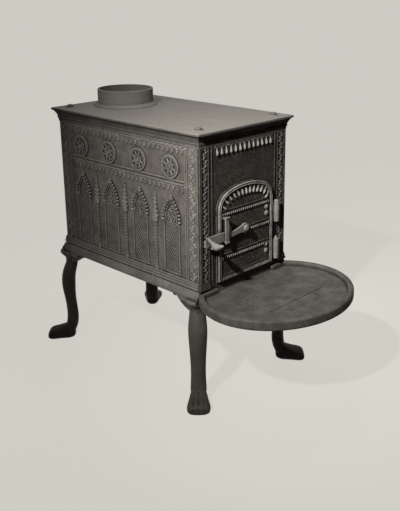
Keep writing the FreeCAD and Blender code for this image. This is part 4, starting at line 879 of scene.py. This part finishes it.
def dress_walls():
    """Ornament of both side walls."""
    fringes = fringe("side_fringe", CARVED, length=2 * FIELD_HALF, drops=27, wide=0.0068, tall=0.0115,
                     out=0.0034, rise=0.0085, rib=0.0015, reach=1.0)
    wheels = rosettes(CARVED)
    arches = window_arches(CARVED)
    panes = window_panes(SHELL)
    spires = pinnacles(CARVED)
    leaves = vine("side_vine", SIDES, BORDER_TALL, wave=0.026, swing=0.0055, leaf=0.0085, leaves=97)
    beads = bead_row("border_beads", SIDES, BORDER_TALL, beads=62, radius=BEAD_R, upright=True)
    fine = bead_row("cornice_beads", TOP, LENGTH, beads=98, radius=BEAD_R)
    rosette_height = TOP_FACE - ROSETTE_DROP
    pane_middle = WINDOW_SPRING - WINDOW_STRAIGHT / 2 - PANE_DROP
    for side, face in (("left", LEFT_WALL), ("right", RIGHT_WALL)):
        gather(side + "_side_fringes", [(fringes, face @ lift(TOP_BEAD - TOP_FRINGE_DROP)),
                                        (fringes, face @ lift(MID_BEAD - MID_FRINGE_DROP))])
        gather(side + "_side_rosettes", [(wheels, face @ lift(rosette_height, ROSETTE_OUT))])
        gather(side + "_window_heads", [(arches, face @ lift(WINDOW_SPRING))])
        gather(side + "_window_panes", [(panes, face @ lift(pane_middle))])
        gather(side + "_pinnacles", [(spires, face @ lift(LEG_TOP + CAP_TOP_UP))])
        vines = [(leaves, face @ lift(BORDER_HEIGHT, 0.0, sign * BORDER_MIDDLE)) for sign in (-1, 1)]
        rows = [(beads, face @ lift(BORDER_HEIGHT, BORDER_BEAD_OUT, sign * BORDER_BEAD)) for sign in (-1, 1)]
        gather(side + "_side_borders", vines + rows)
        gather(side + "_cornice_beads", [(fine, face @ lift(CORNICE_BAND, CORNICE_BAND_OUT))])


def dress_front():
    """Ornament of the front wall: fringe, vines and bead rows; the panel below the fringe stays bare."""
    drops = fringe("front_fringe", RUBBED, length=2 * PANEL_HALF, drops=13, wide=0.0054, tall=0.0185,
                   out=0.0046, rise=0.0062, rib=0.0014, reach=0.5)
    leaves = vine("front_vine", SHELL, BORDER_TALL, wave=0.03, swing=0.0034, leaf=0.0078, leaves=63)
    fine = bead_row("front_cornice_beads", TOP, 2 * HALF_WIDTH, beads=56, radius=BEAD_R)
    small = bead_row("panel_beads", FRONT, 2 * PANEL_HALF, beads=38, radius=PANEL_BEAD_R)
    gather("front_fringe", [(drops, FRONT_WALL @ lift(TOP_BEAD - FRONT_FRINGE_DROP)),
                            (small, FRONT_WALL @ lift(TOP_BEAD - PANEL_BEAD_DROP, PANEL_BEAD_OUT))])
    gather("front_borders", [(leaves, FRONT_WALL @ lift(BORDER_HEIGHT, 0.0, sign * FRONT_BORDER_MIDDLE))
                             for sign in (-1, 1)])
    gather("front_cornice_beads", [(fine, FRONT_WALL @ lift(CORNICE_BAND, CORNICE_BAND_OUT))])
    gather("back_cornice_beads", [(fine, BACK_WALL @ lift(CORNICE_BAND, CORNICE_BAND_OUT))])


def dress_door():
    """Ornament of the door: arch fringe, teeth on the bands and ridges on the rim."""
    gather("door_arch_fringe", [(arch_fringe(RUBBED), FRONT_WALL @ lift(0.0, DOOR_FACE))], "door")
    reaches = {band: BAND_REACH for band in BANDS}
    reaches[BANDS[1]] = RIVET_X - RIVET_CLEAR
    teeth = [(band_teeth(CARVED, -BAND_REACH, reach),
              FRONT_WALL @ lift(band - BAND_STRIP_MIDDLE, BAND_STRIP_FACE))
             for band, reach in reaches.items()]
    gather("door_band_teeth", teeth, "door")
    ridges = [(rim_ridge(CARVED, inset), FRONT_WALL @ lift(0.0, DOOR_RIM_FRONT - RIDGE_SINK))
              for inset in RIDGE_INSETS]
    gather("door_rim_ridges", ridges, "door")


def finish_nodes():
    """Give every solid its iron."""
    for row in frame["record"]["subparts"]:
        mesh = frame["nodes"][row["node"]].data
        mesh.materials.clear()
        mesh.materials.append(NODE_FINISHES.get(row["node"], FINISHES[row["material_slot"]]))


def seen_rays(node_tree):
    """One for the rays that show the background: to the camera, off metal and through glass."""
    ray = node_tree.nodes.new("ShaderNodeLightPath")
    views = ray.outputs["Is Camera Ray"]
    for way in ("Is Glossy Ray", "Is Transmission Ray"):
        both = node_tree.nodes.new("ShaderNodeMath")
        both.operation = "MAXIMUM"
        node_tree.links.new(views, both.inputs[0])
        node_tree.links.new(ray.outputs[way], both.inputs[1])
        views = both.outputs[0]
    return views


def floor():
    """Pale floor that runs past the picture, with the stove's soft shadow on it."""
    material = bpy.data.materials.new("pale_floor")
    material.use_nodes = True
    nodes = material.node_tree.nodes
    links = material.node_tree.links
    seen = nodes["Principled BSDF"]
    seen.inputs["Base Color"].default_value = FLOOR_COLOUR
    seen.inputs["Roughness"].default_value = FLOOR_ROUGHNESS
    seen.inputs["Specular IOR Level"].default_value = 0.0
    glow = nodes.new("ShaderNodeEmission")
    glow.inputs["Color"].default_value = FLOOR_GLOW
    pale = nodes.new("ShaderNodeMixShader")
    pale.inputs[0].default_value = FLOOR_GLOW_SHARE
    links.new(seen.outputs[0], pale.inputs[1])
    links.new(glow.outputs[0], pale.inputs[2])
    dull = nodes.new("ShaderNodeBsdfDiffuse")
    dull.inputs["Color"].default_value = FLOOR_BOUNCE
    share = nodes.new("ShaderNodeMixShader")
    links.new(seen_rays(material.node_tree), share.inputs[0])
    links.new(dull.outputs[0], share.inputs[1])
    links.new(pale.outputs[0], share.inputs[2])
    links.new(share.outputs[0], nodes["Material Output"].inputs["Surface"])
    corners = [(x * FLOOR_HALF, y * FLOOR_HALF, 0) for x, y in ((-1, -1), (1, -1), (1, 1), (-1, 1))]
    mesh = bpy.data.meshes.new("floor")
    mesh.from_pydata(corners, [], [(0, 1, 2, 3)])
    mesh.materials.append(material)
    ground = bpy.data.objects.new("floor", mesh)
    bpy.context.scene.collection.objects.link(ground)


def lamp(name, place, target, size, power, spread, shine=True):
    """Soft square lamp that looks at a point; without shine, metal doesn't mirror it."""
    light = bpy.data.lights.new(name, "AREA")
    light.size = size
    light.energy = power
    light.spread = math.radians(spread)
    light.color = LAMP_COLOUR
    holder = bpy.data.objects.new(name, light)
    holder.location = place
    holder.visible_camera = False
    holder.visible_glossy = shine
    holder.rotation_euler = (Vector(target) - Vector(place)).to_track_quat("-Z", "Y").to_euler()
    bpy.context.scene.collection.objects.link(holder)


def lighting():
    """One lamp at the left front, a dim one behind, a broad one overhead, and a faint even sky."""
    lamp("key_lamp", place=(-1.735, FRONT_Y - 0.55, 1.84), target=(-0.1, FRONT_Y - 0.14, 0.61),
         size=0.08, power=3.3, spread=37.0)
    lamp("back_lamp", place=(1.7, FRONT_Y + 2.1, 1.3), target=(0.05, FRONT_Y + 0.4, 0.45),
         size=0.8, power=0.75, spread=50.0, shine=False)
    lamp("top_lamp", place=(0.2, FRONT_Y + 0.24, 2.1), target=(0.06, FRONT_Y + 0.16, 0.68),
         size=0.6, power=1.25, spread=70.0)
    world = bpy.data.worlds.new("studio")
    world.use_nodes = True
    nodes = world.node_tree.nodes
    links = world.node_tree.links
    sky = nodes["Background"]
    sky.inputs["Color"].default_value = SKY_COLOUR
    sky.inputs["Strength"].default_value = SKY_STRENGTH
    backdrop = nodes.new("ShaderNodeBackground")
    backdrop.inputs["Color"].default_value = BACKDROP_COLOUR
    share = nodes.new("ShaderNodeMixShader")
    links.new(seen_rays(world.node_tree), share.inputs[0])
    links.new(sky.outputs[0], share.inputs[1])
    links.new(backdrop.outputs[0], share.inputs[2])
    links.new(share.outputs[0], nodes["World Output"].inputs["Surface"])
    bpy.context.scene.world = world


def camera():
    """The photograph's view."""
    bearing, tilt, roll = (math.radians(a) for a in (VIEW_BEARING, VIEW_TILT, VIEW_ROLL))
    ahead = Vector((math.sin(bearing) * math.cos(tilt), math.cos(bearing) * math.cos(tilt), -math.sin(tilt)))
    right = Vector((math.cos(bearing), -math.sin(bearing), 0))
    up = right.cross(ahead)
    rolled_right = math.cos(roll) * right + math.sin(roll) * up
    rolled_up = math.cos(roll) * up - math.sin(roll) * right
    view = bpy.data.cameras.new("view")
    view.sensor_width = SENSOR
    view.lens = VIEW_LENS / IMAGE_TALL * SENSOR
    view.shift_x = (IMAGE_WIDE / 2 - VIEW_CENTRE[0]) / IMAGE_TALL
    view.shift_y = (VIEW_CENTRE[1] - IMAGE_TALL / 2) / IMAGE_TALL
    eye = bpy.data.objects.new("view", view)
    turn = Matrix((rolled_right, rolled_up, -ahead)).transposed()
    eye.matrix_world = Matrix.Translation(VIEW_FROM_FRONT + Vector((0, FRONT_Y, 0))) @ turn.to_4x4()
    bpy.context.scene.collection.objects.link(eye)
    bpy.context.scene.camera = eye


finish_nodes()
dress_walls()
dress_front()
dress_door()
floor()
lighting()
camera()
bpy.context.scene.view_settings.view_transform = "Standard"
